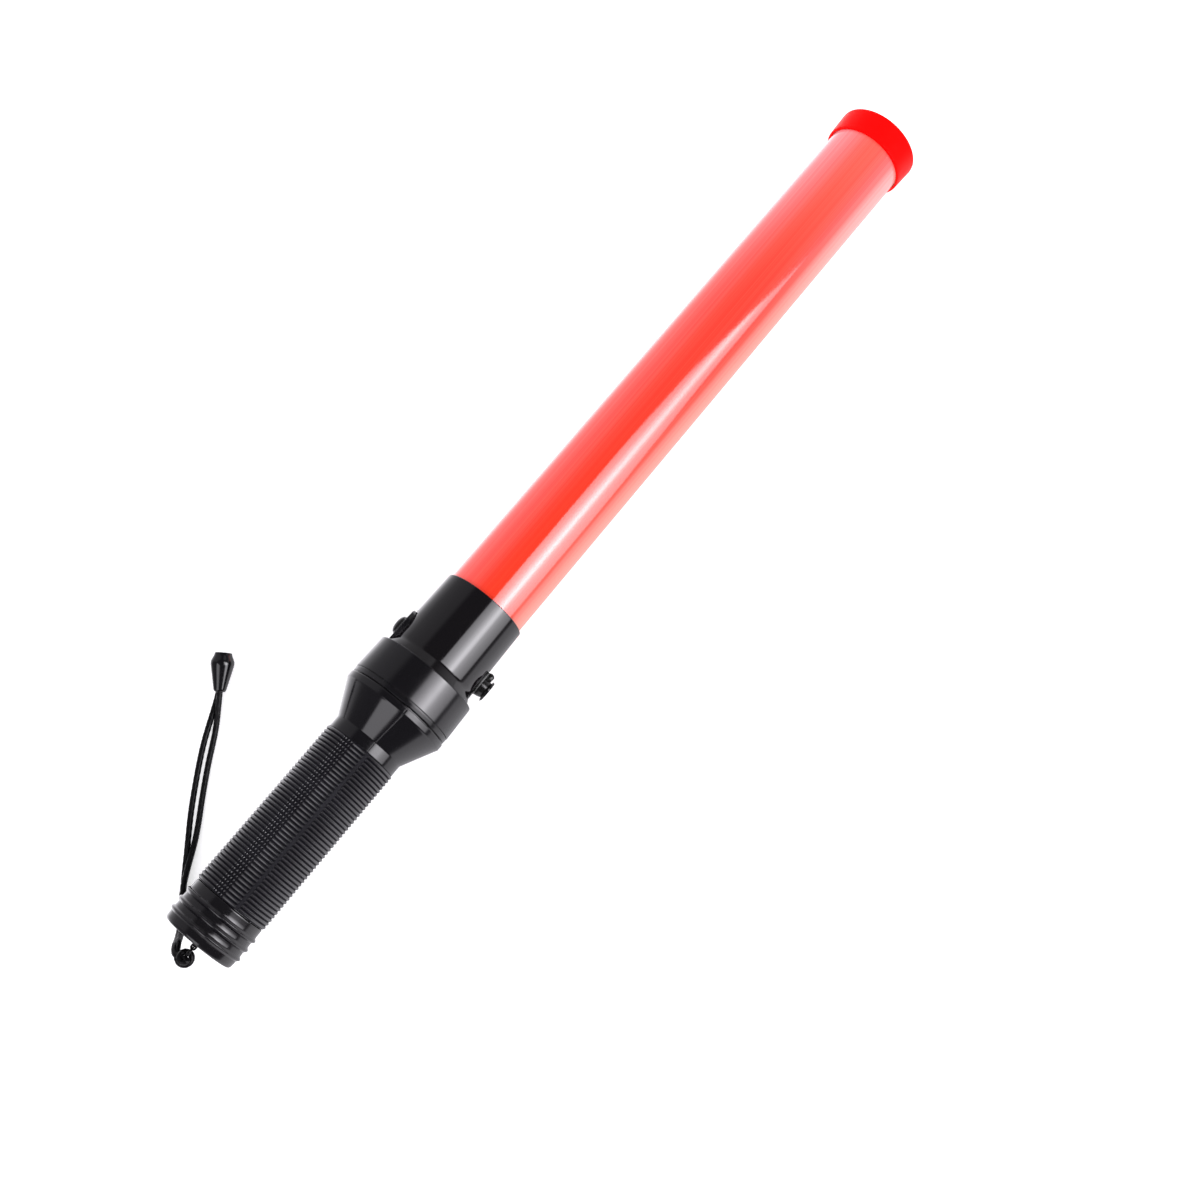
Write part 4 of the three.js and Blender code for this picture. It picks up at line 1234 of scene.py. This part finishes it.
def build_world():
    world = bpy.data.worlds.new("studio")
    bpy.context.scene.world = world
    world.use_nodes = True
    world.cycles.sampling_method = "NONE"
    g = Graph(world.node_tree)
    direction = g.node("ShaderNodeTexCoord").outputs["Generated"]
    x, _, z = g.split(direction)
    ray = g.node("ShaderNodeLightPath").outputs
    from_tip = g.math("MAXIMUM", x, 0.0)
    from_above = g.math("ADD", g.math("MULTIPLY", z, 0.22), 1.15)
    soft = g.math("SUBTRACT", from_above, g.math("MULTIPLY", from_tip, 0.95))
    strength = g.mix(ray["Is Glossy Ray"], soft, lit_from(g, direction), "FLOAT")
    strength = g.mix(ray["Is Camera Ray"], strength, 1.0, "FLOAT")
    tint = {"Color": STUDIO_TINT, "Strength": strength}
    background = g.node("ShaderNodeBackground", tint)
    output = g.node("ShaderNodeOutputWorld")
    g.tree.links.new(background.outputs[0], output.inputs["Surface"])


def build_floor():
    """A white table that keeps only a soft trace of the contact shadows."""
    mesh = bpy.data.meshes.new("floor")
    ends = ((-1, -1), (1, -1), (1, 1), (-1, 1))
    square = [(x * FLOOR_REACH, y * FLOOR_REACH, FLOOR_HEIGHT) for x, y in ends]
    mesh.from_pydata(square, [], [(0, 1, 2, 3)])
    floor = bpy.data.objects.new("floor", mesh)
    bpy.context.scene.collection.objects.link(floor)
    material, g = new_material("table")
    glow = g.node("ShaderNodeEmission", {"Color": (1, 1, 1), "Strength": FLOOR_GLOW})
    grain = g.smooth(g.noise(25, 3), 0.3, 0.7, 0.91, 0.93)
    card = g.node("ShaderNodeBsdfDiffuse", {"Color": g.mix(grain, (0, 0, 0), (1, 1, 1))})
    both = g.node("ShaderNodeAddShader", {0: glow.outputs[0], 1: card.outputs[0]})
    output = g.node("ShaderNodeOutputMaterial")
    g.tree.links.new(both.outputs[0], output.inputs["Surface"])
    mesh.materials.append(material)
    floor.visible_glossy = False


def build_camera():
    """A camera above the tail, turned so that the baton runs up to the right."""
    right, up = Vector(CAMERA_RIGHT), Vector(CAMERA_UP)
    back = right.cross(up).normalized()
    camera = bpy.data.objects.new("camera", bpy.data.cameras.new("camera"))
    camera.data.lens = CAMERA_LENS
    camera.data.sensor_width = 36.0
    camera.data.clip_start = 0.01
    turn = Matrix((right, up, back)).transposed().to_4x4()
    camera.matrix_world = Matrix.Translation(CAMERA_PLACE) @ turn
    bpy.context.scene.collection.objects.link(camera)
    bpy.context.scene.camera = camera


build_world()
build_floor()
build_camera()
bpy.context.scene.view_settings.view_transform = "Standard"
